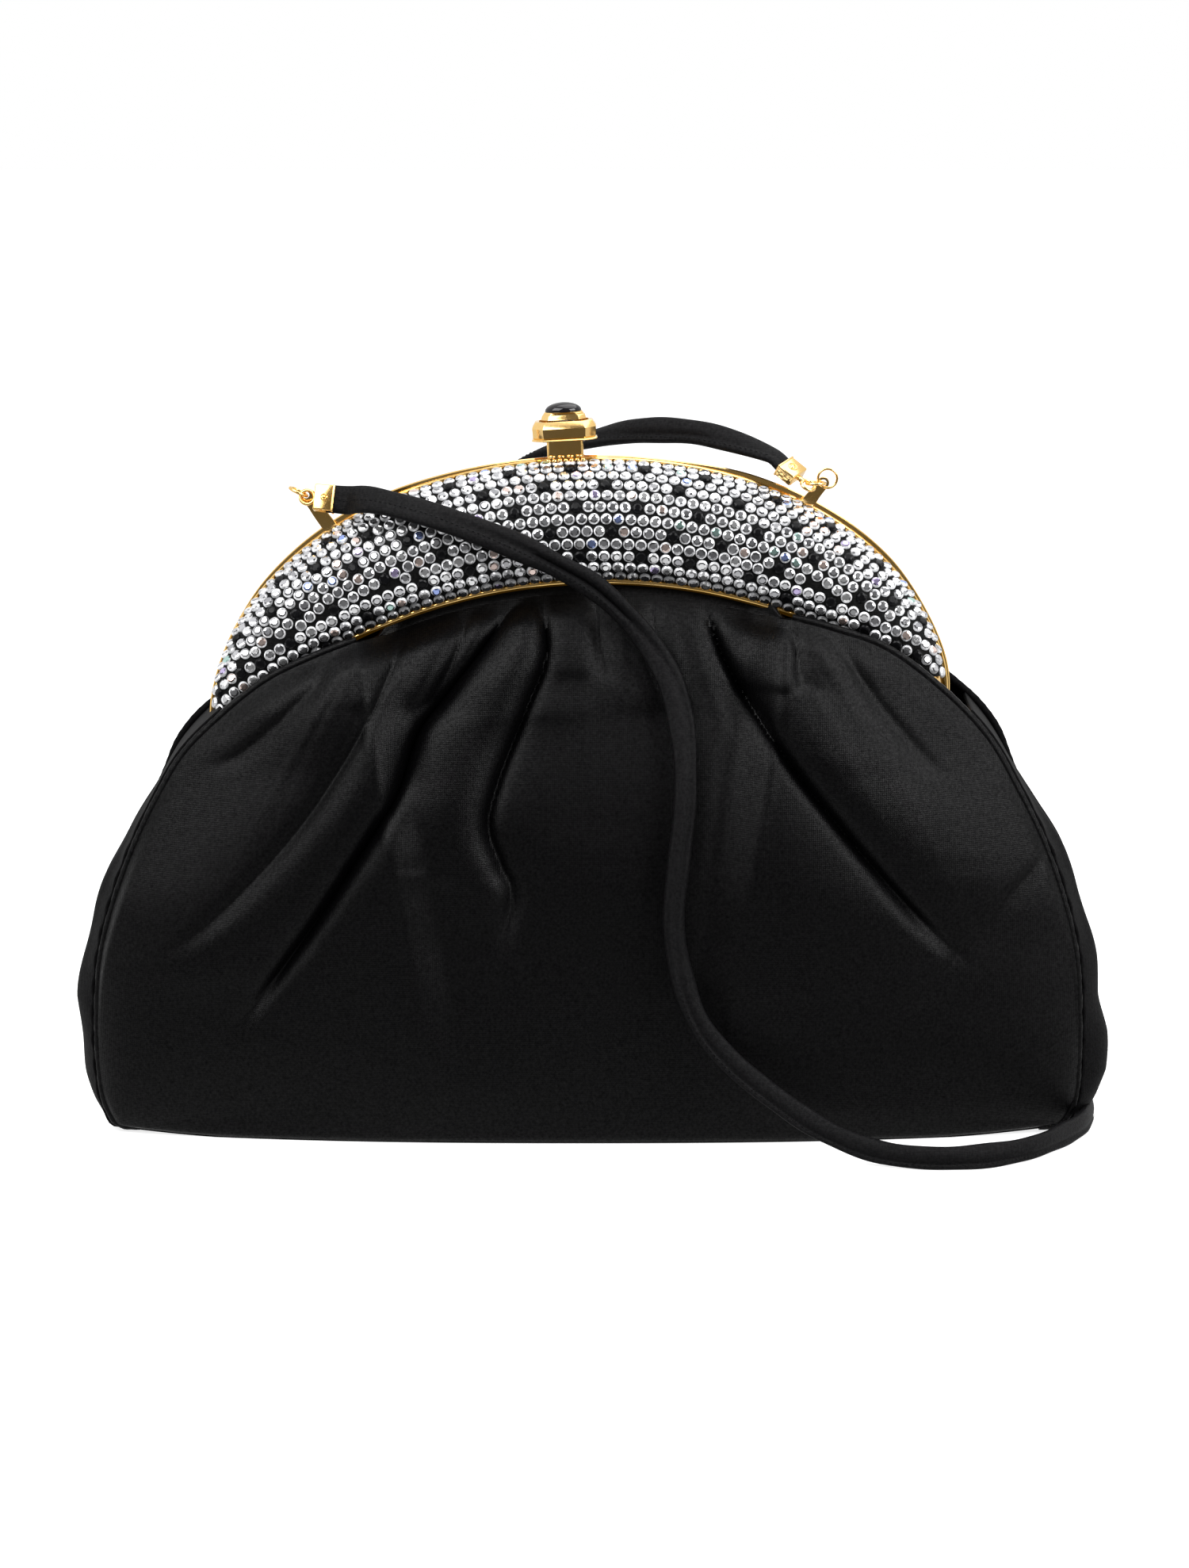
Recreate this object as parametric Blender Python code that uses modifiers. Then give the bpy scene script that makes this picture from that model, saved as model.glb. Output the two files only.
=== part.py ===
"""Evening clutch purse: a gathered satin pouch in a hinged, arched metal frame, with a push-button
clasp and a thin satin strap. Metres, +Z up, front towards -Y, origin under the middle of the base.

Lengths in this file are in millimetres and become metres where a mesh is made. The frame leans a
little to the left of upright, so its pieces are built in the frame's own axes, with the middle of
the hinge line as their origin, and hang on an empty that leans.
"""
import math

import bmesh
import bpy
import numpy as np
from mathutils import Matrix, Vector

MM = 0.001
GAP = 0.3

# Frame: an arched band, half round in section, from hinge to hinge.
FRAME_X = -0.8
HINGE_Z = 84.5
LEAN_DEG = -3.0
ARCH_HALF_WIDTH = 76.9
ARCH_BASE = 3.5
ARCH_HEIGHT = 53.2
ARCH_POWER = 2.05
INNER_HALF_WIDTH = 71.5
INNER_TOP = 33.1
INNER_RADIUS = 117.0
BAND_WIDTH = 23.6
BULGE_MID = 13.0
BULGE_END = 4.5
CREST_SHARE = 0.62
TUCK_DEG = 55.0
TUCK_DEPTH = 0.88
WALL = 1.0
RIM = 1.1
RIM_HEIGHT = 1.1
BED_HEIGHT = 1.2
BED_FOOT = 0.5
STATIONS = 26

# Hinges.
EAR_FRONT = (73.9, 75.3)
EAR_REAR = (72.2, 73.6)
EAR_RADIUS = 2.6
PIN_RADIUS = 0.95
PIN_HEAD = 1.8

# Clasp, in the frame's axes: bottom and top of each piece.
POST = (58.0, 61.6)
COLLAR = (61.85, 65.9)
POCKET_FLOOR = 63.0
TIER = (66.15, 67.5)
CABOCHON = (67.75, 69.6)
POST_SIZE = (7.6, 5.6)
POST_CUT = 0.35
COLLAR_SIZE = (13.4, 9.2)
COLLAR_CUT = 2.3
POCKET_SIZE = (10.2, 6.8)
POCKET_CUT = 1.6
TIER_SIZE = (9.4, 6.0)
TIER_CUT = 1.5
CABOCHON_HALF_WIDTH = 3.75
CABOCHON_SQUASH = 0.74
CABOCHON_GIRDLE = 0.3
PAWL_RADIUS = 2.1
SPRING_TURNS = 3.5
SPRING_WIRE = 0.2
SPRING_RADIUS = 2.2
STEM_RADIUS = 1.1
STEM_FOOT = 53.0
PAWL = (51.8, 52.75)
CATCH = (53.1, 53.9)
CATCH_OUTLINE = [
    (-3.2, -2.2),
    (-1.5, -2.2),
    (-1.5, 1.6),
    (1.5, 1.6),
    (1.5, -2.2),
    (3.2, -2.2),
    (3.2, 3.4),
    (-3.2, 3.4),
]

# Pouch.
CLOTH = 1.2
RIM_CLOTH_Y = -7.4
RIM_CLOTH_DROP = 2.8
PIPING_RADIUS = 1.1
SEAM = 1.5
BASE_HALF_DEPTH = 22.0
CORNER_HALF_DEPTH = 11.0
PANEL_BULGE = 8.5
GUSSET_BULGE = 4.2
GUSSET_TOP = 82.0
LINING_TOP = 80.0
LINING_WALL = 0.8
LINING_CLEARANCE = 4.0
LINING_HEIGHTS = [3.6, 8.0, 20.0, 38.0, 60.0, LINING_TOP]
LINING_DEPTHS = ((3, 16.5), (12, 20.0), (30, 22.0), (50, 21.5), (80, 16.5))
BOARD_HALF_SIZE = (84.0, 16.0)
BOARD_HEIGHTS = (1.8, 3.0)

# The piping's side run, from the frame's lower rim down to the base corner: (x, y, z).
SIDE_RUN = [
    (45.5, -12.6, 108.0),
    (54.0, -12.6, 105.2),
    (65.0, -12.2, 100.4),
    (76.0, -12.2, 91.8),
    (84.8, -12.4, 83.3),
    (91.0, -12.9, 73.8),
    (96.4, -13.3, 62.6),
    (100.7, -13.5, 50.3),
    (103.5, -13.4, 38.0),
    (104.3, -13.0, 25.0),
    (103.9, -12.2, 14.0),
    (102.2, -11.4, 7.0),
    (99.5, -11.0, 2.8),
]

# Strap: its round stand-in's radius and its route, from the left end cap to the right one.
STRAP_RADIUS = 2.3
STRAP_POINTS = 72
STRAP_CLEARANCE = 0.9
STRAP_ROUTE = [
    (-44.1, -9.0, 134.5),
    (-34.2, -13.8, 132.8),
    (-24.1, -16.6, 129.8),
    (-14.1, -17.5, 126.0),
    (-4.1, -18.0, 121.2),
    (3.0, -17.5, 116.8),
    (9.6, -17.5, 110.5),
    (14.8, -19.0, 103.8),
    (18.4, -21.0, 97.0),
    (20.6, -24.0, 87.0),
    (21.0, -27.5, 75.0),
    (19.8, -29.5, 63.0),
    (18.6, -30.5, 50.0),
    (20.0, -30.5, 39.2),
    (23.6, -30.5, 28.5),
    (30.2, -31.0, 20.0),
    (40.1, -33.5, 12.2),
    (49.9, -37.0, 6.4),
    (59.8, -41.0, 3.2),
    (69.6, -44.5, 2.5),
    (80.2, -44.0, 2.5),
    (91.2, -37.5, 2.5),
    (99.5, -26.0, 2.5),
    (106.2, -10.5, 2.5),
    (107.4, 10.0, 2.5),
    (98.5, 31.0, 2.5),
    (78.0, 43.0, 2.5),
    (50.0, 47.0, 2.5),
    (20.0, 45.0, 2.5),
    (-6.0, 40.5, 3.0),
    (-22.0, 35.5, 9.0),
    (-31.0, 32.0, 24.0),
    (-34.5, 31.0, 44.0),
    (-35.5, 31.0, 64.0),
    (-35.5, 35.0, 82.0),
    (-34.5, 41.5, 97.0),
    (-31.0, 45.0, 112.5),
    (-24.0, 42.0, 126.0),
    (-11.0, 31.0, 138.5),
    (3.0, 20.0, 144.3),
    (12.5, 13.0, 146.6),
    (23.0, 6.5, 147.0),
    (31.5, 2.8, 145.4),
]

# Strap ends: box caps with an eye, links, lugs and the loose jump ring.
CAP_SIZE = (3.8, 2.6, 5.6)
CAP_WALL = 0.5
EYE_RADIUS = 1.5
EYE_WIRE = 0.35
LINK_RADIUS = 1.95
LINK_WIRE = 0.3
LUG_Y = (-1.5, -0.7)
LUG_WIDTH = 2.5
LUG_ANGLE_DEG = 50.3
JUMP_RING_RADIUS = 2.0
JUMP_RING_WIRE = 0.28
LEFT_EYE = (-57.9, -3.1, 134.4)
LEFT_LINK = (-59.8, -2.0, 135.4)
LEFT_LINK_RUN = (-0.9, 0.0, 0.43)
LEFT_LUG_HOLE = (-58.3, -1.1, 134.68)
LEFT_CAP_AXIS = (1.0, -0.12, -0.06)
LEFT_CAP_WIDTH = (0.36, 0.35, 0.93)
LEFT_STUB = 0.0
RIGHT_EYE = (46.9, -3.1, 136.9)
RIGHT_LINK = (48.55, -2.0, 137.2)
RIGHT_LINK_RUN = (1.0, 0.0, 0.0)
RIGHT_LUG_HOLE = (50.15, -1.1, 137.2)
RIGHT_CAP_AXIS = (-0.75, 0.33, 0.57)
RIGHT_CAP_WIDTH = (0.56, 0.8, 0.22)
RIGHT_STUB = 1.2
JUMP_RING_AXIS_X = 50.45
JUMP_RING_OFFSET = 1.15
JUMP_RING_REST_DEG = 61.0

LEAN = (
    Matrix.Translation((FRAME_X, 0, HINGE_Z))
    @ Matrix.Rotation(math.radians(LEAN_DEG), 4, "Y")
)


def clear_scene():
    for obj in list(bpy.data.objects):
        bpy.data.objects.remove(obj)


def collection(name):
    made = bpy.data.collections.new(name)
    bpy.context.scene.collection.children.link(made)
    return made


def material(name, color, roughness, metallic=0.0):
    made = bpy.data.materials.new(name)
    made.use_nodes = True
    shader = made.node_tree.nodes["Principled BSDF"]
    shader.inputs["Base Color"].default_value = (*color, 1.0)
    shader.inputs["Roughness"].default_value = roughness
    shader.inputs["Metallic"].default_value = metallic
    made.diffuse_color = (*color, 1.0)
    return made


def smoothstep(t):
    t = min(max(t, 0.0), 1.0)
    return t * t * (3 - 2 * t)


clear_scene()
PIECES = collection("clutch_purse")
CUTTERS = collection("cutters")
GOLD = material("polished_gold", (0.83, 0.60, 0.26), 0.16, 1.0)
CRYSTAL = material("crystal", (0.72, 0.73, 0.76), 0.12, 0.2)
ONYX = material("onyx", (0.01, 0.01, 0.012), 0.06)
SATIN = material("black_satin", (0.012, 0.012, 0.013), 0.38)
LINING = material("lining_cloth", (0.02, 0.02, 0.022), 0.6)
BOARD = material("board", (0.25, 0.22, 0.18), 0.8)
STEEL = material("spring_steel", (0.55, 0.55, 0.56), 0.3, 1.0)


# ---------------------------------------------------------------- mesh tools


def add_mesh(name, mesh, surface=None, parent=None):
    """One object for a mesh: a piece if it has a surface, otherwise a cutter."""
    obj = bpy.data.objects.new(name, mesh)
    if surface is None:
        CUTTERS.objects.link(obj)
        obj.hide_render = True
        obj.display_type = "WIRE"
    else:
        PIECES.objects.link(obj)
        mesh.materials.append(surface)
    obj.parent = parent
    return obj


def mesh_from(name, points, faces, smooth=True):
    mesh = bpy.data.meshes.new(name)
    mesh.from_pydata([tuple(MM * c for c in p) for p in points], [], faces)
    work = bmesh.new()
    work.from_mesh(mesh)
    bmesh.ops.recalc_face_normals(work, faces=work.faces)
    work.to_mesh(mesh)
    work.free()
    if smooth:
        mesh.shade_smooth()
        mesh.set_sharp_from_angle(angle=math.radians(40))
    return mesh


def loft(name, rings):
    """A closed solid through rings of equally many points, with both ends capped."""
    count = len(rings[0])
    points = [p for ring in rings for p in ring]
    faces = [tuple(range(count)), tuple(len(points) - count + i for i in reversed(range(count)))]
    for r in range(len(rings) - 1):
        for i in range(count):
            j = (i + 1) % count
            a, b = r * count, (r + 1) * count
            faces.append((a + i, b + i, b + j, a + j))
    return mesh_from(name, points, faces)


def grid(name, rows):
    """An open surface through rows of equally many points."""
    count = len(rows[0])
    points = [p for row in rows for p in row]
    faces = [
        (r * count + i, r * count + i + 1, (r + 1) * count + i + 1, (r + 1) * count + i)
        for r in range(len(rows) - 1)
        for i in range(count - 1)
    ]
    return mesh_from(name, points, faces)


def thicken(obj, thickness):
    shell = obj.modifiers.new("cloth", "SOLIDIFY")
    shell.thickness = thickness * MM
    shell.offset = 0


def box_mesh(name, size, centre=(0, 0, 0)):
    work = bmesh.new()
    bmesh.ops.create_cube(work, size=1.0)
    bmesh.ops.scale(work, vec=[s * MM for s in size], verts=work.verts)
    bmesh.ops.translate(work, vec=[c * MM for c in centre], verts=work.verts)
    mesh = bpy.data.meshes.new(name)
    work.to_mesh(mesh)
    work.free()
    return mesh


def block(name, size, span, chamfer, edge, surface, parent):
    """A block between two heights whose upright corners are cut off and whose edges are rounded."""
    centre_z = (span[0] + span[1]) / 2
    work = bmesh.new()
    bmesh.ops.create_cube(work, size=1.0)
    bmesh.ops.scale(work, vec=[size[0] * MM, size[1] * MM, (span[1] - span[0]) * MM], verts=work.verts)
    bmesh.ops.translate(work, vec=(0, 0, centre_z * MM), verts=work.verts)
    upright = [e for e in work.edges if abs(e.verts[0].co.z - e.verts[1].co.z) > 1e-6]
    bmesh.ops.bevel(work, geom=upright, offset=chamfer * MM, segments=1, affect="EDGES")
    mesh = bpy.data.meshes.new(name)
    work.to_mesh(mesh)
    work.free()
    obj = add_mesh(name, mesh, surface, parent)
    if edge:
        rounded = obj.modifiers.new("edges", "BEVEL")
        rounded.width = edge * MM
        rounded.segments = 2
        rounded.limit_method = "ANGLE"
    return obj


def cylinder_mesh(name, radius, low, high, axis="Z", sides=20):
    """A cylinder on a main axis, between two places on it."""
    work = bmesh.new()
    bmesh.ops.create_cone(
        work,
        cap_ends=True,
        segments=sides,
        radius1=radius * MM,
        radius2=radius * MM,
        depth=(high - low) * MM,
        matrix=Matrix.Translation((0, 0, (low + high) / 2 * MM)),
    )
    turn = {"X": Matrix.Rotation(math.pi / 2, 4, "Y"), "Y": Matrix.Rotation(-math.pi / 2, 4, "X")}
    if axis in turn:
        bmesh.ops.transform(work, matrix=turn[axis], verts=work.verts)
    mesh = bpy.data.meshes.new(name)
    work.to_mesh(mesh)
    work.free()
    return mesh


def torus_mesh(name, radius, wire, around=16, section=6):
    """A ring of round wire in the XZ plane."""
    points = []
    for k in range(around):
        turn = 2 * math.pi * k / around
        for m in range(section):
            roll = 2 * math.pi * m / section
            reach = radius + wire * math.cos(roll)
            points.append((reach * math.cos(turn), wire * math.sin(roll), reach * math.sin(turn)))
    faces = [
        (
            k * section + m,
            (k + 1) % around * section + m,
            (k + 1) % around * section + (m + 1) % section,
            k * section + (m + 1) % section,
        )
        for k in range(around)
        for m in range(section)
    ]
    return mesh_from(name, points, faces)


def turned(name, profile, surface, parent, steps=24):
    """A turned solid about Z: (radius, height) from the top of the axis down its outer side."""
    mesh = bpy.data.meshes.new(name)
    points = [(r * MM, 0.0, z * MM) for r, z in profile]
    mesh.from_pydata(points, [(i, i + 1) for i in range(len(points) - 1)], [])
    obj = add_mesh(name, mesh, surface, parent)
    screw = obj.modifiers.new("turn", "SCREW")
    screw.steps = steps
    screw.render_steps = steps
    screw.use_merge_vertices = True
    screw.merge_threshold = 1e-5
    screw.use_smooth_shade = True
    return obj


def combine(obj, tool, operation):
    step = obj.modifiers.new(operation.lower(), "BOOLEAN")
    step.operation = operation
    step.object = tool
    step.solver = "EXACT"


def tube(name, points, radius, surface, resolution=2, parent=None):
    curve = bpy.data.curves.new(name, "CURVE")
    curve.dimensions = "3D"
    curve.bevel_depth = radius * MM
    curve.bevel_resolution = resolution
    curve.use_fill_caps = True
    spline = curve.splines.new("POLY")
    spline.points.add(len(points) - 1)
    for knot, p in zip(spline.points, points):
        knot.co = (p[0] * MM, p[1] * MM, p[2] * MM, 1.0)
    curve.materials.append(surface)
    obj = bpy.data.objects.new(name, curve)
    PIECES.objects.link(obj)
    obj.parent = parent
    return obj


def smooth_run(knots, count):
    """Evenly spaced points on a smooth curve through the knots."""
    knots = np.array(knots, float)
    padded = np.vstack([2 * knots[0] - knots[1], knots, 2 * knots[-1] - knots[-2]])
    fine = []
    for i in range(len(knots) - 1):
        a, b, c, d = padded[i : i + 4]
        for t in np.linspace(0, 1, 24, endpoint=False):
            fine.append(
                b
                + 0.5 * (c - a) * t
                + 0.5 * (2 * a - 5 * b + 4 * c - d) * t**2
                + 0.5 * (3 * b - a - 3 * c + d) * t**3
            )
    fine = np.array(fine + [knots[-1]])
    along = np.concatenate([[0], np.cumsum(np.linalg.norm(np.diff(fine, axis=0), axis=1))])
    places = np.linspace(0, along[-1], count)
    return np.column_stack([np.interp(places, along, fine[:, k]) for k in range(3)])


def place(obj, origin, x_axis, z_axis):
    """Sets an object's own axes: X as given, Z as near the given one as a right angle allows."""
    x = Vector(x_axis).normalized()
    y = Vector(z_axis).cross(x).normalized()
    z = x.cross(y)
    turn = Matrix((x, y, z)).transposed().to_4x4()
    obj.matrix_world = Matrix.Translation([c * MM for c in origin]) @ turn


def empty(name, parent=None):
    made = bpy.data.objects.new(name, None)
    made.empty_display_size = 0.01
    PIECES.objects.link(made)
    made.parent = parent
    return made


# ---------------------------------------------------------------- the frame's band


def arch_edges(theta):
    """The band's outer and inner edge points (x, z) at one angle of the arch."""
    cosine, sine = math.cos(theta), math.sin(theta)
    share_x = math.copysign(abs(cosine) ** (2 / ARCH_POWER), cosine)
    share_z = abs(sine) ** (2 / ARCH_POWER)
    outer = Vector((ARCH_HALF_WIDTH * share_x, ARCH_BASE + ARCH_HEIGHT * share_z))
    x = INNER_HALF_WIDTH * share_x
    inner = Vector((x, INNER_TOP - INNER_RADIUS + math.sqrt(INNER_RADIUS**2 - x * x)))
    return outer, inner


def band_profile(theta):
    """Across the front half's band at one angle: (length from the outer edge, point, normal) rows."""
    outer, inner = arch_edges(theta)
    across = (inner - outer).normalized()
    width = (inner - outer).length
    bulge = BULGE_END + (BULGE_MID - BULGE_END) * width / BAND_WIDTH
    crest = width * CREST_SHARE
    rows, length, before = [], 0.0, None
    for k in range(25):
        phi = math.radians(90 - (90 + TUCK_DEG) * k / 24)
        if phi > 0:
            reach, depth = crest, bulge
        else:
            reach = (width - crest) / math.sin(math.radians(TUCK_DEG))
            depth = bulge * TUCK_DEPTH
        flat = outer + across * (crest - reach * math.sin(phi))
        point = Vector((flat.x, -GAP / 2 - bulge + depth * (1 - math.cos(phi)), flat.y))
        inward = -math.sin(phi) / reach
        normal = Vector((across.x * inward, -math.cos(phi) / depth, across.y * inward)).normalized()
        length += (point - before).length if before else 0.0
        before = point
        rows.append((length, point, normal))
    return rows


def band_point(rows, distance, height):
    """The point a distance in from the outer edge and a height above the band's surface."""
    lengths = [row[0] for row in rows]
    k = min(max(int(np.searchsorted(lengths, distance)) - 1, 0), len(rows) - 2)
    t = (distance - lengths[k]) / (lengths[k + 1] - lengths[k])
    point = rows[k][1].lerp(rows[k + 1][1], t)
    normal = rows[k][2].lerp(rows[k + 1][2], t).normalized()
    return point + normal * height


def shell_section(total):
    """The frame's channel section: two raised rims and a floor, as (distance, height)."""
    floor = np.linspace(RIM, total - RIM, 6)[1:-1]
    back = np.linspace(total, 0, 5)[1:-1]
    return (
        [(0, -WALL), (0, RIM_HEIGHT), (RIM, RIM_HEIGHT), (RIM, 0)]
        + [(d, 0) for d in floor]
        + [(total - RIM, 0), (total - RIM, RIM_HEIGHT), (total, RIM_HEIGHT), (total, -WALL)]
        + [(d, -WALL) for d in back]
    )


def bed_section(total):
    """The stone bed's section, clear of the rims and the floor."""
    low, high = RIM + GAP, total - RIM - GAP
    across = np.linspace(low, high, 6)
    return [(d, BED_HEIGHT) for d in across] + [(d, BED_FOOT) for d in across[::-1]]


def band_solid(name, section, side, ends_deg=0.0):
    """A solid of one section swept round the arch; side is 1 for the front half, -1 for the rear."""
    rings = []
    for theta in np.linspace(math.radians(180 - ends_deg), math.radians(ends_deg), STATIONS + 1):
        rows = band_profile(theta)
        points = [band_point(rows, d, h) for d, h in section(rows[-1][0])]
        rings.append([(p.x, p.y * side, p.z) for p in points])
    return loft(name, rings)


def ear_mesh(name, span, side, front):
    """A hinge ear: a flat plate round the pin that runs up into the band's end."""
    outline = [
        (EAR_RADIUS * math.cos(math.radians(a)), EAR_RADIUS * math.sin(math.radians(a)))
        for a in range(60, -181, -20)
    ]
    outline += [(-5.3, 3.8), (-5.3, 8.6), (-1.2, 8.6), (-1.2, 6.0)]
    rings = [[(side * x, y * front, z) for y, z in outline] for x in span]
    return loft(name, rings)


def frame_half(name, front, parent):
    half = add_mesh(name, band_solid(name, shell_section, front), GOLD, parent)
    span = EAR_FRONT if front == 1 else EAR_REAR
    for side, word in ((-1, "left"), (1, "right")):
        ear = add_mesh(f"{name}_ear_{word}", ear_mesh(f"{name}_ear_{word}", span, side, front), None, parent)
        combine(half, ear, "UNION")
        low, high = sorted((side * (span[0] - 1), side * (span[1] + 1)))
        hole = cylinder_mesh(f"{name}_hole_{word}", PIN_RADIUS + GAP, low, high, "X")
        combine(half, add_mesh(f"{name}_hole_{word}", hole, None, parent), "DIFFERENCE")
    notch = box_mesh(f"{name}_notch", (3.6, 3.2, 8.0), (0, 0, ARCH_BASE + ARCH_HEIGHT))
    combine(half, add_mesh(f"{name}_notch", notch, None, parent), "DIFFERENCE")
    return half


def retainer(name, front, parent):
    """The strip behind the lower rim that grips the gathered cloth."""
    points = []
    for theta in np.linspace(math.radians(135), math.radians(45), 15):
        rows = band_profile(theta)
        p = band_point(rows, rows[-1][0] - 4.5, -WALL - 1.7)
        points.append((p.x, p.y * front, p.z))
    return tube(name, points, 0.6, STEEL, 1, parent)


def hinge_pin(name, side, parent):
    low, high = EAR_REAR[0] - 0.3, EAR_FRONT[1] + 0.3
    profile = [
        (0, high + 0.8),
        (PIN_HEAD * 0.7, high + 0.8),
        (PIN_HEAD, high + 0.4),
        (PIN_HEAD, high),
        (PIN_RADIUS, high),
        (PIN_RADIUS, low),
        (PIN_HEAD, low),
        (PIN_HEAD, low - 0.5),
        (0, low - 0.8),
    ]
    pin = turned(name, profile, GOLD, parent, 12)
    pin.rotation_euler = (0, side * math.pi / 2, 0)
    return pin


# ---------------------------------------------------------------- the clasp


def clasp(static, moving):
    post = block("clasp_post", POST_SIZE, POST, POST_CUT, 0.0, GOLD, static)
    bore = add_mesh("post_bore", cylinder_mesh("post_bore", STEM_RADIUS + 0.4, 50, 66), None, static)
    combine(post, bore, "DIFFERENCE")
    collar = block("clasp_collar", COLLAR_SIZE, COLLAR, COLLAR_CUT, 0.35, GOLD, static)
    pocket_span = (POCKET_FLOOR, COLLAR[1] + 3)
    pocket = block("collar_pocket", POCKET_SIZE, pocket_span, POCKET_CUT, 0.0, None, static)
    combine(collar, pocket, "DIFFERENCE")
    combine(collar, bore, "DIFFERENCE")

    block("push_button", TIER_SIZE, TIER, TIER_CUT, 0.25, GOLD, moving)
    stem_mesh = cylinder_mesh("button_stem", STEM_RADIUS, STEM_FOOT, TIER[0] - GAP)
    add_mesh("button_stem", stem_mesh, STEEL, moving)

    low, high = CABOCHON
    girdle = low + CABOCHON_GIRDLE
    dome = [(0, high)]
    for degrees in range(15, 91, 15):
        a = math.radians(degrees)
        dome.append((CABOCHON_HALF_WIDTH * math.sin(a), girdle + (high - girdle) * math.cos(a)))
    dome += [(CABOCHON_HALF_WIDTH - 0.15, low), (0, low)]
    stone = turned("onyx_cabochon", dome, ONYX, moving, 18)
    stone.scale = (1.0, CABOCHON_SQUASH, 1.0)
    add_mesh("latch_pawl", cylinder_mesh("latch_pawl", PAWL_RADIUS, *PAWL), STEEL, moving)

    low = POCKET_FLOOR + SPRING_WIRE + GAP / 2
    high = TIER[0] - SPRING_WIRE - GAP / 2
    steps = int(SPRING_TURNS * 12)
    helix = [
        (
            SPRING_RADIUS * math.cos(2 * math.pi * k / 12),
            SPRING_RADIUS * math.sin(2 * math.pi * k / 12),
            low + (high - low) * k / steps,
        )
        for k in range(steps + 1)
    ]
    tube("button_spring", helix, SPRING_WIRE, STEEL, 0, static)


def catch_plate(parent):
    """A forked plate under the rear rim, whose slot takes the button's stem."""
    low, high = CATCH
    rings = [[(x, y, z) for x, y in CATCH_OUTLINE] for z in (low, high)]
    add_mesh("catch_plate", loft("catch_plate", rings), STEEL, parent)


# ---------------------------------------------------------------- strap ends


def end_cap(name, eye, axis, width, stub):
    """A box cap on the strap's end, open towards the strap, with an eye ring. Returns its mouth."""
    axis = Vector(axis).normalized()
    length = CAP_SIZE[0]
    back = EYE_RADIUS + stub
    frame = empty(f"{name}_axes")
    place(frame, eye, axis, width)
    cap = add_mesh(name, box_mesh(name, CAP_SIZE, (back + length / 2, 0, 0)), GOLD, frame)
    rounded = cap.modifiers.new("edges", "BEVEL")
    rounded.width = 0.2 * MM
    rounded.segments = 1
    inside = [s - 2 * CAP_WALL for s in CAP_SIZE]
    hollow = box_mesh(f"{name}_hollow", inside, (back + length / 2 + 2 * CAP_WALL, 0, 0))
    combine(cap, add_mesh(f"{name}_hollow", hollow, None, frame), "DIFFERENCE")
    bore = cylinder_mesh(f"{name}_bore", 0.95, -3, 3, "Y", 14)
    bore.transform(Matrix.Translation(((back + length / 2) * MM, 0, 0)))
    combine(cap, add_mesh(f"{name}_bore", bore, None, frame), "DIFFERENCE")
    ring = add_mesh(f"{name}_eye", torus_mesh(f"{name}_eye", EYE_RADIUS, EYE_WIRE), None, frame)
    combine(cap, ring, "UNION")
    if stub:
        neck = box_mesh(f"{name}_neck", (stub + 0.8, 0.9, 1.1), (back - stub / 2, 0, 0))
        combine(cap, add_mesh(f"{name}_neck", neck, None, frame), "UNION")
    rivet = name.replace("end_cap", "cap_rivet")
    pin = cylinder_mesh(rivet, 0.62, -CAP_SIZE[1] / 2 + 0.1, CAP_SIZE[1] / 2 - 0.1, "Y", 12)
    pin.transform(Matrix.Translation(((back + length / 2) * MM, 0, 0)))
    add_mesh(rivet, pin, GOLD, frame)
    return Vector(eye) + axis * (back + length + STRAP_CLEARANCE), axis


def lug(name, hole, side):
    """A lug from the front half's outer rim up to the hole that takes the link."""
    theta = math.radians(90 - side * (90 - LUG_ANGLE_DEG))
    outer, _ = arch_edges(theta)
    normal = Vector(
        (
            math.copysign((abs(outer.x) / ARCH_HALF_WIDTH) ** (ARCH_POWER - 1), outer.x) / ARCH_HALF_WIDTH,
            ((outer.y - ARCH_BASE) / ARCH_HEIGHT) ** (ARCH_POWER - 1) / ARCH_HEIGHT,
        )
    ).normalized()
    foot = outer + normal * (RIM_HEIGHT + 2 * GAP)
    base = LEAN @ Vector((foot.x, 0, foot.y))
    up = Vector((hole[0] - base.x, 0, hole[2] - base.z))
    length = up.length
    up.normalize()
    side_way = Vector((up.z, 0, -up.x))
    half = LUG_WIDTH / 2
    outline = [base - side_way * half, base + side_way * half]
    outline += [
        base + up * length + (side_way * math.cos(math.radians(a)) + up * math.sin(math.radians(a))) * half
        for a in range(0, 181, 20)
    ]
    rings = [[(p.x, y, p.z) for p in outline] for y in LUG_Y]
    piece = add_mesh(name, loft(name, rings), GOLD)
    bore = cylinder_mesh(f"{name}_bore", 0.8, -5, 5, "Y", 14)
    bore.transform(Matrix.Translation((hole[0] * MM, 0, hole[2] * MM)))
    combine(piece, add_mesh(f"{name}_bore", bore, None), "DIFFERENCE")
    return piece


def ring(name, centre, run, radius, wire):
    """A wire ring whose plane holds the Y axis and the run."""
    piece = add_mesh(name, torus_mesh(name, radius, wire), GOLD)
    place(piece, centre, run, (0, 1, 0))
    return piece


def jump_ring():
    """The loose ring on the right link: it turns in its own plane about the link's end."""
    axis = empty("jump_ring_axis")
    axis.location = (JUMP_RING_AXIS_X * MM, RIGHT_LINK[1] * MM, RIGHT_LINK[2] * MM)
    rest = math.radians(JUMP_RING_REST_DEG)
    mesh = torus_mesh("jump_ring", JUMP_RING_RADIUS, JUMP_RING_WIRE)
    offset = (JUMP_RING_OFFSET * math.cos(rest) * MM, 0, JUMP_RING_OFFSET * math.sin(rest) * MM)
    mesh.transform(Matrix.Translation(offset))
    add_mesh("jump_ring", mesh, GOLD, axis)


# ---------------------------------------------------------------- the pouch


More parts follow.
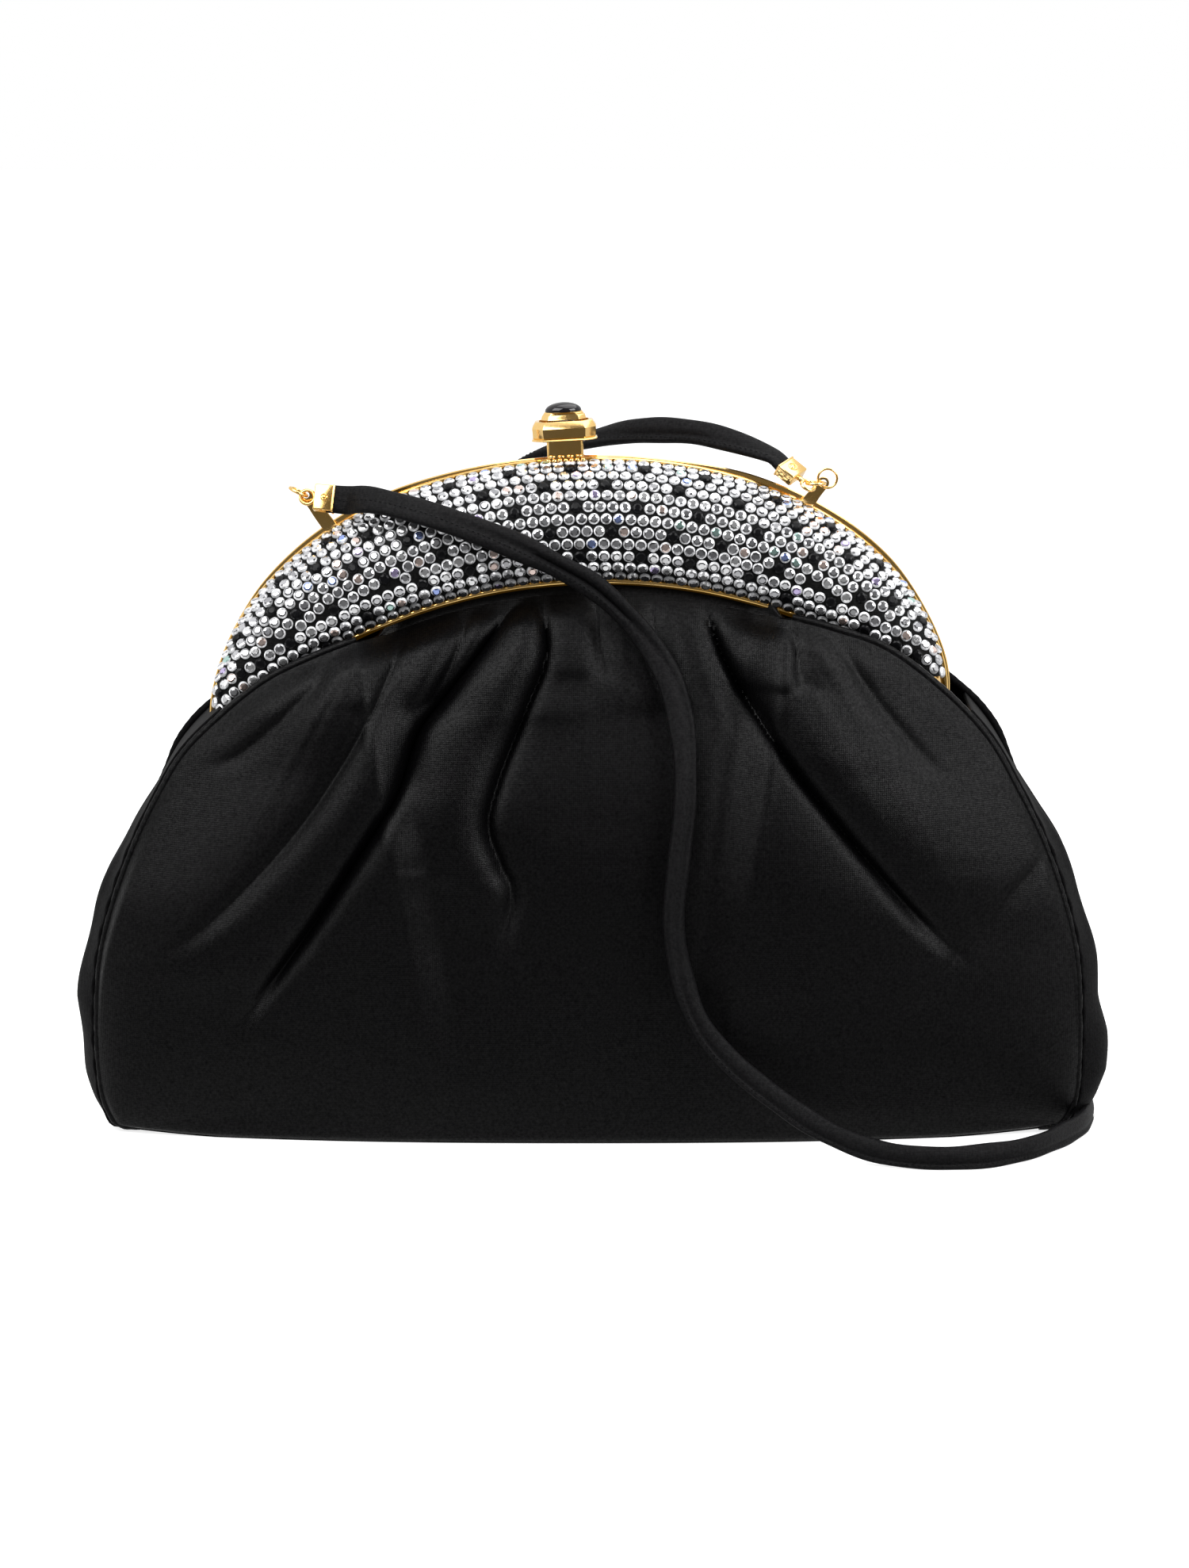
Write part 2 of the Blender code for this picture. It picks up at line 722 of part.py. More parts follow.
def follow_frame(point):
    """The cloth's upper part leans with the frame, and its lower part stands upright."""
    x, y, z = point
    angle = math.radians(LEAN_DEG) * smoothstep((z - 70) / 30)
    dx, dz = x - FRAME_X, z - HINGE_Z
    shift = FRAME_X * smoothstep((z - 60) / 40)
    return Vector(
        (
            dx * math.cos(angle) + dz * math.sin(angle) + FRAME_X + shift,
            y,
            -dx * math.sin(angle) + dz * math.cos(angle) + HINGE_Z,
        )
    )


def base_edge(x):
    """A point on the pouch's lower front seam."""
    share = abs(x) / SIDE_RUN[-1][0]
    y = -BASE_HALF_DEPTH + (BASE_HALF_DEPTH - CORNER_HALF_DEPTH) * share**2.5
    z = PIPING_RADIUS + 0.1 + 1.6 * max(0.0, (abs(x) - 70) / (SIDE_RUN[-1][0] - 70)) ** 2
    return Vector((x, y, z))


def side_seam(side, count):
    """The side seam from the frame down to the base corner, with each point's inward direction."""
    knots = [tuple(follow_frame((side * x, y, z))) for x, y, z in SIDE_RUN]
    run = smooth_run(knots, count)
    ways = np.gradient(run[:, [0, 2]], axis=0)
    inward = np.column_stack([ways[:, 1], -ways[:, 0]]) * side
    inward /= np.linalg.norm(inward, axis=1)[:, None]
    return [Vector(p) for p in run], [Vector((w[0], 0, w[1])) for w in inward]


def seam_path(count_side, count_base):
    """The whole front seam, from the left of the frame round the base to the right."""
    left, left_in = side_seam(-1, count_side)
    right, right_in = side_seam(1, count_side)
    corner = SIDE_RUN[-1][0]
    base = [base_edge(x) for x in np.linspace(-corner, corner, count_base)[1:-1]]
    up = [Vector((0, 0, 1))] * len(base)
    return left + base + right[::-1], left_in + up + right_in[::-1]


def panel_outline(count):
    """The front panel's upper edge, from its left corner up the side seam, along the rim and down."""
    left, left_in = side_seam(-1, 30)
    right, right_in = side_seam(1, 30)
    left = [p + w * SEAM for p, w in zip(left, left_in) if p.z > 8]
    right = [p + w * SEAM for p, w in zip(right, right_in) if p.z > 8]
    rim = []
    for x in np.linspace(-38, 38, 9):
        z = INNER_TOP - INNER_RADIUS + math.sqrt(INNER_RADIUS**2 - x * x)
        rim.append(LEAN @ Vector((x, RIM_CLOTH_Y, z - RIM_CLOTH_DROP)))
    return smooth_run([tuple(p) for p in left[::-1] + rim + right], count)


def panel_rows(columns, rows):
    """The front panel's middle surface: columns that fan out from the base to the upper edge."""
    upper = panel_outline(columns)
    made = []
    for r in range(rows):
        v = r / (rows - 1)
        row = []
        for c in range(columns):
            u = c / (columns - 1)
            lower = base_edge((2 * u - 1) * (SIDE_RUN[-1][0] - 3))
            point = lower.lerp(Vector(upper[c]), v)
            swell = PANEL_BULGE * math.sin(math.pi * v) ** 0.8 * math.sin(math.pi * u) ** 0.6
            row.append((point.x, point.y - swell, point.z))
        made.append(row)
    return made


def mirrored(rows):
    return [[(x, -y, z) for x, y, z in row] for row in rows]


def gusset_rings():
    """Across the gusset from the front seam to the rear one, at each station of the seam."""
    path, inward = seam_path(15, 15)
    rings = []
    for p, w in zip(path, inward):
        if p.z > GUSSET_TOP:
            continue
        half = -p.y - SEAM
        swell = GUSSET_BULGE * smoothstep((abs(p.x) - 88) / 10) * smoothstep((p.z - 0.5) / 14)
        swell *= 1 - 0.85 * smoothstep((p.z - 32) / 40)
        outer, inner = [], []
        for t in np.linspace(-1, 1, 5):
            middle = p - w * (CLOTH / 2 + swell * (1 - t * t))
            outer.append(middle - w * CLOTH / 2 + Vector((0, t * half - p.y, 0)))
            inner.append(middle + w * CLOTH / 2 + Vector((0, t * half - p.y, 0)))
        rings.append([tuple(q) for q in outer + inner[::-1]])
    return rings


def half_width_at(z):
    """The side seam's distance from the middle plane at a height of the pouch."""
    heights = [row[2] for row in SIDE_RUN][::-1]
    widths = [row[0] for row in SIDE_RUN][::-1]
    return float(np.interp(z, heights, widths))


def lining_depth(z):
    heights, depths = zip(*LINING_DEPTHS)
    return float(np.interp(z, heights, depths))


def lining_mesh():
    """An open-topped cup of cloth inside the pouch."""
    def plan(z, shrink):
        a, b = half_width_at(z) - LINING_CLEARANCE - shrink, lining_depth(z) - shrink
        turns = np.linspace(0, 2 * math.pi, 26, endpoint=False)
        return [(a * math.cos(t), b * math.sin(t), z) for t in turns]

    low = LINING_HEIGHTS[0]
    outside = [plan(z, 0.0) for z in LINING_HEIGHTS]
    inside = [plan(z, LINING_WALL) for z in LINING_HEIGHTS[1:]]
    floor = [(x, y, low + LINING_WALL) for x, y, _ in plan(low, LINING_WALL)]
    return loft("lining", outside + inside[::-1] + [floor])


def base_board_mesh():
    """A stiff oval board between the gusset and the lining."""
    turns = np.linspace(0, 2 * math.pi, 40, endpoint=False)
    half_x, half_y = BOARD_HALF_SIZE
    rings = [[(half_x * math.cos(t), half_y * math.sin(t), z) for t in turns] for z in BOARD_HEIGHTS]
    return loft("base_board", rings)


# ---------------------------------------------------------------- assembly


def build_frame():
    lean = empty("frame_axes")
    lean.matrix_world = Matrix.Scale(MM, 4) @ LEAN @ Matrix.Scale(1 / MM, 4)
    rear = empty("rear_half_axis", lean)
    button = empty("button_axis", lean)
    frame_half("front_frame", 1, lean)
    frame_half("rear_frame", -1, rear)
    add_mesh("front_crystal_bed", band_solid("front_crystal_bed", bed_section, 1, 4.0), CRYSTAL, lean)
    add_mesh("rear_crystal_bed", band_solid("rear_crystal_bed", bed_section, -1, 4.0), CRYSTAL, rear)
    retainer("front_cloth_retainer", 1, lean)
    retainer("rear_cloth_retainer", -1, rear)
    hinge_pin("hinge_pin_left", -1, lean)
    hinge_pin("hinge_pin_right", 1, lean)
    clasp(lean, button)
    catch_plate(rear)


def build_strap():
    start, start_way = end_cap("end_cap_left", LEFT_EYE, LEFT_CAP_AXIS, LEFT_CAP_WIDTH, LEFT_STUB)
    finish, finish_way = end_cap("end_cap_right", RIGHT_EYE, RIGHT_CAP_AXIS, RIGHT_CAP_WIDTH, RIGHT_STUB)
    lug("lug_left", LEFT_LUG_HOLE, -1)
    lug("lug_right", RIGHT_LUG_HOLE, 1)
    ring("link_left", LEFT_LINK, LEFT_LINK_RUN, LINK_RADIUS, LINK_WIRE)
    ring("link_right", RIGHT_LINK, RIGHT_LINK_RUN, LINK_RADIUS, LINK_WIRE)
    jump_ring()
    knots = [start, start + start_way * 3] + [Vector(p) for p in STRAP_ROUTE]
    knots += [finish + finish_way * 3, finish]
    points = smooth_run([tuple(k) for k in knots], STRAP_POINTS)
    tube("strap", points, STRAP_RADIUS, SATIN, 2)


def build_pouch():
    rows = panel_rows(27, 9)
    thicken(add_mesh("front_panel", grid("front_panel", rows), SATIN), CLOTH)
    thicken(add_mesh("rear_panel", grid("rear_panel", mirrored(rows)), SATIN), CLOTH)
    add_mesh("gusset", loft("gusset", gusset_rings()), SATIN)
    for side, word in ((-1, "left"), (1, "right")):
        path, _ = side_seam(side, 14)
        tube(f"front_piping_{word}", path, PIPING_RADIUS, SATIN, 1)
        tube(f"rear_piping_{word}", [(p.x, -p.y, p.z) for p in path], PIPING_RADIUS, SATIN, 1)
    add_mesh("lining", lining_mesh(), LINING)
    add_mesh("base_board", base_board_mesh(), BOARD)


build_frame()
build_strap()
build_pouch()
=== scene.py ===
import math
import random

import bmesh
import bpy
import numpy as np
from mathutils import Matrix, Vector


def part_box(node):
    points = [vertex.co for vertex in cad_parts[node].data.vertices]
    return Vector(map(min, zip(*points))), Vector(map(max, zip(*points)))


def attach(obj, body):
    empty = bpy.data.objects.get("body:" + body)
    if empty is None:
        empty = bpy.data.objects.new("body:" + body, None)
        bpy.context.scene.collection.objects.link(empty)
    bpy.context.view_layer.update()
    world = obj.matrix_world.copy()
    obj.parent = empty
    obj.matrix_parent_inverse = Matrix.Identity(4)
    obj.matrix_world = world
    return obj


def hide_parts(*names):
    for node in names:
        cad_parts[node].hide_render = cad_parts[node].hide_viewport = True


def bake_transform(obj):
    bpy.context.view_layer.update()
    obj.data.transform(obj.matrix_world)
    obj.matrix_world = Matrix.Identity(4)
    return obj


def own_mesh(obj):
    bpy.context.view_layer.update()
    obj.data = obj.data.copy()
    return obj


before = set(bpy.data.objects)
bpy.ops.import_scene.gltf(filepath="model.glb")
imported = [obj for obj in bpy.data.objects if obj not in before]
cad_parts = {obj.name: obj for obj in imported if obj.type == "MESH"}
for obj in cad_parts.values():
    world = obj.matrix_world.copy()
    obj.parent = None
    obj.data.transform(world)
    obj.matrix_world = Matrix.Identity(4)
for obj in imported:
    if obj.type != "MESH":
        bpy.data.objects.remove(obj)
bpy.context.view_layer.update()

# Shapes are worked out in millimetres, in the same frame as the CAD part, and meshes are in metres.
MM = 0.001

# The frame's band, as the CAD part has it.
GAP = 0.3
FRAME_X = -0.8
HINGE_Z = 84.5
LEAN_DEG = -3.0
ARCH_HALF_WIDTH = 76.9
ARCH_BASE = 3.5
ARCH_HEIGHT = 53.2
ARCH_POWER = 2.05
INNER_HALF_WIDTH = 71.5
INNER_TOP = 33.1
INNER_RADIUS = 117.0
BAND_WIDTH = 23.6
BULGE_MID = 13.0
BULGE_END = 4.5
CREST_SHARE = 0.62
TUCK_DEG = 55.0
TUCK_DEPTH = 0.88
WALL = 1.0
RIM = 1.1
BEAD_INSET = 0.95
BEAD_HEIGHT = 0.85
BEAD_RADIUS = 0.6
# The notch at the top of both halves that the latch passes through.
NOTCH_HALF = 1.9
NOTCH_DEPTH = 1.65
BAND_STEPS = 220
BAND_ROWS = 48

# The button's spring.
SPRING_SPAN = (63.3, 65.75)
SPRING_TURNS = 3.5
SPRING_RADIUS = 2.2
SPRING_WIRE = 0.2
SPRING_STATIONS = 106

# Stones.
STONE_RADIUS = 1.2
STONE_PITCH = 2.56
ROW_PITCH = 2.47
STONE_FOOT = 0.55
# The nearest that a stone's middle comes to the edge of the band.
STONE_EDGE = RIM + 0.25 + STONE_RADIUS
STONE_SEED = 11
JETS_PER_ROW = 14
JET_ROWS = 5
JET_REACH = 1.9

# Pouch.
BASE_HALF_DEPTH = 22.0
CORNER_HALF_DEPTH = 11.0
PANEL_BULGE = 8.5
RIM_CLOTH_Y = -7.4
RIM_CLOTH_DROP = 2.8
GUSSET_TOP = 90.0
LINING_TOP = 80.0
PIPING_RADIUS = 0.9
# How the piping turns in under the base: inwards, then y and z.
PIPING_TAIL = ((2.2, -11.3, 1.5), (5.5, -12.0, 1.2))
SIDE_RUN = [
    (45.5, -12.6, 108.0),
    (54.0, -12.6, 105.2),
    (65.0, -12.2, 100.4),
    (76.0, -12.2, 91.8),
    (84.8, -12.4, 83.3),
    (91.0, -12.9, 73.8),
    (96.4, -13.3, 62.6),
    (100.7, -13.5, 50.3),
    (103.5, -13.4, 38.0),
    (104.3, -13.0, 25.0),
    (104.3, -12.2, 14.0),
    (103.7, -11.4, 7.0),
    (101.8, -11.0, 2.6),
]
# The left side hangs a little further in than the right one, by height.
LEFT_HEIGHTS = (2.6, 7.0, 14.0, 27.0, 43.0, 58.0, 73.0, 83.0, 91.0)
LEFT_INSET = (2.2, 2.3, 2.0, 1.7, 2.0, 2.3, 2.7, 1.5, 0.0)
SWELL_HEIGHTS = (0.5, 7.0, 12.0, 20.0, 28.0, 43.0, 58.0, 72.0, 90.0)
LEFT_SWELL = (0.0, 1.6, 2.6, 3.3, 3.9, 2.4, 1.7, 1.2, 1.2)
RIGHT_SWELL = (0.0, 4.6, 6.0, 5.6, 4.2, 2.9, 1.9, 1.2, 1.2)

LEAN = Matrix.Translation((FRAME_X, 0, HINGE_Z)) @ Matrix.Rotation(math.radians(LEAN_DEG), 4, "Y")


# ---------------------------------------------------------------- camera, light and floor

CAMERA_TARGET = (0.0022, -0.008, 0.0743)
CAMERA_ELEVATION_DEG = 10
CAMERA_DISTANCE = 1.2
CAMERA_LENS = 131
# Each lamp's place, size and power. They all aim at one spot above the bag's base.
LAMPS = (
    ("key_light", (-0.55, -0.60, 0.90), 0.8, 14.0),
    ("top_light", (0.25, 0.15, 1.0), 0.9, 6.0),
    ("side_light", (0.75, -0.60, 0.65), 0.6, 11.0),
)
LAMP_TARGET = (0, 0, 0.08)
OPENING_WAY = (0, -0.985, 0.17)
FLOOR_HALF = 3
WHITE = (1, 1, 1, 1)


def add_object(name, data):
    obj = bpy.data.objects.new(name, data)
    bpy.context.scene.collection.objects.link(obj)
    return obj


def plug(tree, value, socket):
    """A number or colour is set on the socket, and another node's output is linked to it."""
    if isinstance(value, bpy.types.NodeSocket):
        tree.links.new(value, socket)
    else:
        socket.default_value = value


def add_node(tree, kind, sockets=None, **settings):
    """A new shader node with its settings and what goes into its sockets."""
    node = tree.nodes.new("ShaderNode" + kind)
    for key, value in settings.items():
        setattr(node, key, value)
    for key, value in (sockets or {}).items():
        plug(tree, value, node.inputs[key])
    return node


def smooth_range(tree, value, start, end, low, high):
    sockets = {"Value": value, "From Min": start, "From Max": end, "To Min": low, "To Max": high}
    return add_node(tree, "MapRange", sockets, interpolation_type="SMOOTHSTEP").outputs["Result"]


def camera_mix(tree, reflected, seen):
    """One shader for reflections and another one for what the camera sees directly."""
    ray = add_node(tree, "LightPath").outputs["Is Camera Ray"]
    return add_node(tree, "MixShader", {"Fac": ray, 1: reflected, 2: seen}).outputs["Shader"]


def make_camera():
    """The photograph's view: level with the clasp's side, looking slightly down."""
    elevation = math.radians(CAMERA_ELEVATION_DEG)
    back = Vector((0, -math.cos(elevation), math.sin(elevation)))
    camera = add_object("camera", bpy.data.cameras.new("camera"))
    camera.data.lens = CAMERA_LENS
    camera.data.sensor_width = 36
    camera.location = Vector(CAMERA_TARGET) + back * CAMERA_DISTANCE
    camera.rotation_euler = (-back).to_track_quat("-Z", "Y").to_euler()
    bpy.context.scene.camera = camera


def make_world():
    """A white light tent with a dark opening in front. The camera sees plain white."""
    world = bpy.data.worlds.new("studio")
    world.use_nodes = True
    tree = world.node_tree
    tree.nodes.clear()
    place = add_node(tree, "TexCoord").outputs["Generated"]
    facing = add_node(tree, "VectorMath", {0: place, 1: OPENING_WAY}, operation="DOT_PRODUCT")
    opening = smooth_range(tree, facing.outputs["Value"], 0.45, 0.66, 0.98, 0.13)
    tent = add_node(tree, "Background", {"Color": WHITE, "Strength": opening}).outputs["Background"]
    backdrop = add_node(tree, "Background", {"Color": WHITE, "Strength": 1.0}).outputs["Background"]
    add_node(tree, "OutputWorld", {"Surface": camera_mix(tree, tent, backdrop)})
    bpy.context.scene.world = world
    bpy.context.scene.view_settings.view_transform = "Standard"


def make_lamps():
    for name, place, size, energy in LAMPS:
        lamp = bpy.data.lights.new(name, "AREA")
        lamp.shape = "SQUARE"
        lamp.size = size
        lamp.energy = energy
        obj = add_object(name, lamp)
        obj.location = place
        aim = Vector(LAMP_TARGET) - Vector(place)
        obj.rotation_euler = aim.to_track_quat("-Z", "Y").to_euler()


def make_floor():
    """A pale floor. In reflections its sweep of paper is only bright close to the bag."""
    mesh = bpy.data.meshes.new("floor")
    corners = [(x * FLOOR_HALF, y * FLOOR_HALF, 0) for x, y in ((-1, -1), (1, -1), (1, 1), (-1, 1))]
    mesh.from_pydata(corners, [], [(0, 1, 2, 3)])
    paint = Paint("floor_paint")
    tree = paint.tree
    grain = add_node(tree, "TexNoise", {"Scale": 40}).outputs["Fac"]
    paint.feed(
        Roughness=0.9,
        Specular_IOR_Level=0.0,
        Emission_Color=WHITE,
        Emission_Strength=0.8,
        Base_Color=paint.ramp(grain, (0.44, 0.44, 0.44), (0.46, 0.46, 0.46), 0.0, 1.0),
    )
    depth = add_node(tree, "SeparateXYZ", {"Vector": paint.where}).outputs["Y"]
    glow = add_node(tree, "Emission", {"Strength": smooth_range(tree, depth, -0.24, -0.13, 0.1, 0.85)})
    surface = camera_mix(tree, glow.outputs["Emission"], paint.shader.outputs["BSDF"])
    plug(tree, surface, tree.nodes["Material Output"].inputs["Surface"])
    mesh.materials.append(paint.material)
    add_object("floor", mesh)


# ---------------------------------------------------------------- materials


class Paint:
    """A material and short ways to wire it."""

    def __init__(self, name, **values):
        self.material = bpy.data.materials.new(name)
        self.material.use_nodes = True
        self.tree = self.material.node_tree
        self.shader = self.tree.nodes["Principled BSDF"]
        self.where = add_node(self.tree, "TexCoord").outputs["Object"]
        self.feed(**values)

    def feed(self, **values):
        """Numbers, colours or other nodes' outputs for the surface shader's sockets."""
        for key, value in values.items():
            plug(self.tree, value, self.shader.inputs[key.replace("_", " ")])

    def mapped(self, scale, turn=(0, 0, 0)):
        sockets = {"Scale": scale, "Rotation": turn, "Vector": self.where}
        return add_node(self.tree, "Mapping", sockets).outputs["Vector"]

    def noise(self, scale, detail=3, vector=None):
        sockets = {"Scale": scale, "Detail": detail, "Vector": vector or self.where}
        return add_node(self.tree, "TexNoise", sockets).outputs["Fac"]

    def waves(self, scale, direction):
        sockets = {"Scale": scale, "Distortion": 1.5, "Detail": 2, "Vector": self.where}
        return add_node(self.tree, "TexWave", sockets, bands_direction=direction).outputs["Fac"]

    def ramp(self, value, low, high, start=0.3, end=0.7):
        node = add_node(self.tree, "ValToRGB", {"Fac": value})
        first, last = node.color_ramp.elements
        first.position, last.position = start, end
        first.color, last.color = (*low, 1), (*high, 1)
        return node.outputs["Color"]

    def span(self, value, low, high):
        sockets = {"Value": value, "To Min": low, "To Max": high}
        return add_node(self.tree, "MapRange", sockets).outputs["Result"]

    def mix(self, factor, a, b):
        return add_node(self.tree, "Math", {0: a, 1: factor, 2: b}, operation="MULTIPLY_ADD").outputs["Value"]

    def bump(self, height, strength, distance):
        sockets = {"Strength": strength, "Distance": distance, "Height": height}
        self.feed(Normal=add_node(self.tree, "Bump", sockets).outputs["Normal"])


# A wave texture repeats after this distance when its scale is one.
WAVE_UNIT = 0.314


def satin(name, low, high, roughness, shine, sheen, thread_mm):
    """Black cloth: fine crossed threads, slubs and a soft sheen."""
    paint = Paint(name, Sheen_Weight=sheen, Sheen_Roughness=0.4, Sheen_Tint=(0.75, 0.75, 0.78, 1))
    across, along = (paint.waves(WAVE_UNIT / (thread_mm * MM), way) for way in "XZ")
    slubs = paint.noise(2300, 4, paint.mapped((1, 1, 0.7)))
    paint.feed(
        Base_Color=paint.ramp(slubs, low, high),
        Specular_IOR_Level=paint.span(paint.noise(1700, 2), shine * 0.1, shine * 1.9),
        Roughness=paint.span(paint.noise(2600, 2), roughness - 0.08, roughness + 0.1),
    )
    paint.bump(paint.mix(0.5, across, paint.mix(0.6, along, slubs)), 0.35, 0.00012)
    return paint.material


def metal(name, low, high, roughness, spread, glow=(0, 0, 0)):
    """Polished metal with faint clouds and rubs, and a warm glow for what it reflects of itself: an emitted,
    painted reflection.
    """
    paint = Paint(name, Metallic=1.0, Emission_Strength=1.0)
    cloud = paint.noise(140, 3)
    rub = paint.noise(1500, 3, paint.mapped((1, 1, 0.15), (0, 0.5, 0)))
    paint.feed(
        Base_Color=paint.ramp(cloud, low, high),
        # Painted reflection: the glow is emitted and mottled by the clouds.
        Emission_Color=paint.ramp(cloud, [0.8 * g for g in glow], glow),
        Roughness=paint.span(rub, roughness - spread, roughness + spread),
    )
    paint.bump(paint.mix(0.02, rub, cloud), 0.5, 0.00025)
    return paint.material


def toned(name, roughness, metallic, coat, glow, gleam=0.5):
    """A cut stone whose facets carry painted tones, painted reflections and painted shade, used as its base
    colour and glowing by the given strength.
    """
    paint = Paint(name, Metallic=metallic, Coat_Weight=coat, Coat_Roughness=0.03)
    # The tone layer holds painted reflections and painted shade.
    tone = add_node(paint.tree, "VertexColor", layer_name="tone").outputs["Color"]
    paint.feed(
        Emission_Strength=glow,
        Specular_IOR_Level=gleam,
        Base_Color=tone,
        Emission_Color=tone,
        Roughness=paint.span(paint.noise(700, 2), roughness * 0.6, roughness * 1.4),
    )
    return paint.material


def gloss_black(name):
    paint = Paint(name, Specular_IOR_Level=0.3, Coat_Weight=0.15, Coat_Roughness=0.02)
    cloud = paint.noise(220, 4)
    paint.feed(
        Base_Color=paint.ramp(cloud, (0.004, 0.004, 0.005), (0.012, 0.01, 0.011)),
        Roughness=paint.span(cloud, 0.04, 0.1),
    )
    return paint.material


def board_stock(name):
    paint = Paint(name)
    fibres = paint.noise(600, 5, paint.mapped((0.3, 1, 1)))
    paint.feed(
        Base_Color=paint.ramp(fibres, (0.2, 0.17, 0.13), (0.31, 0.27, 0.22)),
        Roughness=paint.span(fibres, 0.7, 0.9),
    )
    paint.bump(fibres, 0.3, 0.0002)
    return paint.material


# ---------------------------------------------------------------- mesh tools


def smoothstep(t):
    t = np.clip(t, 0.0, 1.0)
    return t * t * (3 - 2 * t)


def turns(count):
    """The angles of a full turn in equal parts."""
    return [2 * math.pi * i / count for i in range(count)]


def distances_along(points):
    return np.concatenate([[0], np.cumsum(np.linalg.norm(np.diff(points, axis=0), axis=1))])


def dress(piece, body, slot, *nodes):
    """Says which body carries the piece and which CAD nodes it stands for. The finish given as slot is not
    used.
    """
    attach(piece, body)
    if nodes:
        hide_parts(*nodes)


def add_piece(name, points, faces, material, sharp_deg=40.0, tidy=True):
    """A mesh object from points in millimetres."""
    mesh = bpy.data.meshes.new(name)
    mesh.from_pydata((np.asarray(points, float) * MM).tolist(), [], faces)
    if tidy:
        work = bmesh.new()
        work.from_mesh(mesh)
        bmesh.ops.recalc_face_normals(work, faces=work.faces)
        work.to_mesh(mesh)
        work.free()
    mesh.shade_smooth()
    mesh.set_sharp_from_angle(angle=math.radians(sharp_deg))
    mesh.materials.append(material)
    return add_object(name, mesh)


def loft_faces(rings, count, start=0, capped=True, closed=True):
    """Faces between rings of count points each, numbered from start."""
    faces = []
    for r in range(rings - 1):
        for i in range(count if closed else count - 1):
            j = (i + 1) % count
            a, b = start + r * count, start + (r + 1) * count
            faces.append((a + i, b + i, b + j, a + j))
    if capped:
        faces.append(tuple(start + i for i in range(count)))
        faces.append(tuple(start + (rings - 1) * count + i for i in reversed(range(count))))
    return faces


class Parts:
    """Several closed shapes gathered into one mesh."""

    def __init__(self):
        self.points, self.faces = [], []

    def loft(self, rings, capped=True):
        start, count = len(self.points), len(rings[0])
        for ring in rings:
            self.points.extend(tuple(p) for p in ring)
        self.faces += loft_faces(len(rings), count, start, capped)

    def add(self, points, faces):
        start = len(self.points)
        self.points.extend(tuple(p) for p in points)
        self.faces += [tuple(start + i for i in f) for f in faces]

    def piece(self, name, material, sharp_deg=40.0):
        return add_piece(name, self.points, self.faces, material, sharp_deg)


def smooth_run(knots, count):
    """Evenly spaced points on a smooth curve through the knots."""
    knots = np.array(knots, float)
    padded = np.vstack([2 * knots[0] - knots[1], knots, 2 * knots[-1] - knots[-2]])
    fine = []
    for i in range(len(knots) - 1):
        a, b, c, d = padded[i : i + 4]
        square, cube = 2 * a - 5 * b + 4 * c - d, 3 * b - a - 3 * c + d
        for t in np.linspace(0, 1, 24, endpoint=False):
            fine.append(0.5 * (2 * b + (c - a) * t + square * t**2 + cube * t**3))
    fine = np.array(fine + [knots[-1]])
    along = distances_along(fine[:, :3])
    places = np.linspace(0, along[-1], count)
    return np.column_stack([np.interp(places, along, fine[:, k]) for k in range(fine.shape[1])])


def unit(v):
    v = np.asarray(v, float)
    return v / np.maximum(np.linalg.norm(v, axis=-1, keepdims=True), 1e-9)


def torus_points(radius, wire, around, section, place):
    """A ring of wire in its own XZ plane, moved by a matrix."""
    points = []
    for turn in turns(around):
        for roll in turns(section):
            reach = radius + wire * math.cos(roll)
            p = Vector((reach * math.cos(turn), wire * math.sin(roll), reach * math.sin(turn)))
            points.append(place @ p)
    faces = []
    for k in range(around):
        near, far = k * section, (k + 1) % around * section
        for m in range(section):
            after = (m + 1) % section
            faces.append((near + m, far + m, far + after, near + after))
    return points, faces


def dome_rings(radius, height, rings, sides, squash=1.0):
    """Rings of a low dome about Z, from its foot up to near its top."""
    made = []
    for k in range(rings):
        a = math.pi / 2 * k / (rings - 0.5)
        reach, z = radius * math.cos(a), height * math.sin(a)
        made.append([(reach * math.cos(t), reach * math.sin(t) * squash, z) for t in turns(sides)])
    return made


def axes_at(origin, x_axis, z_axis):
    """A matrix with X as given and Z as near the given one as a right angle allows."""
    x = Vector(x_axis).normalized()
    y = Vector(z_axis).cross(x).normalized()
    z = x.cross(y)
    return Matrix.Translation(origin) @ Matrix((x, y, z)).transposed().to_4x4()


def moved(points, matrix):
    return [matrix @ Vector(p) for p in points]


# ---------------------------------------------------------------- the frame's band


def arch_edges(theta):
    cosine, sine = math.cos(theta), math.sin(theta)
    share_x = math.copysign(abs(cosine) ** (2 / ARCH_POWER), cosine)
    share_z = abs(sine) ** (2 / ARCH_POWER)
    outer = np.array((ARCH_HALF_WIDTH * share_x, ARCH_BASE + ARCH_HEIGHT * share_z))
    x = INNER_HALF_WIDTH * share_x
    inner = np.array((x, INNER_TOP - INNER_RADIUS + math.sqrt(INNER_RADIUS**2 - x * x)))
    return outer, inner


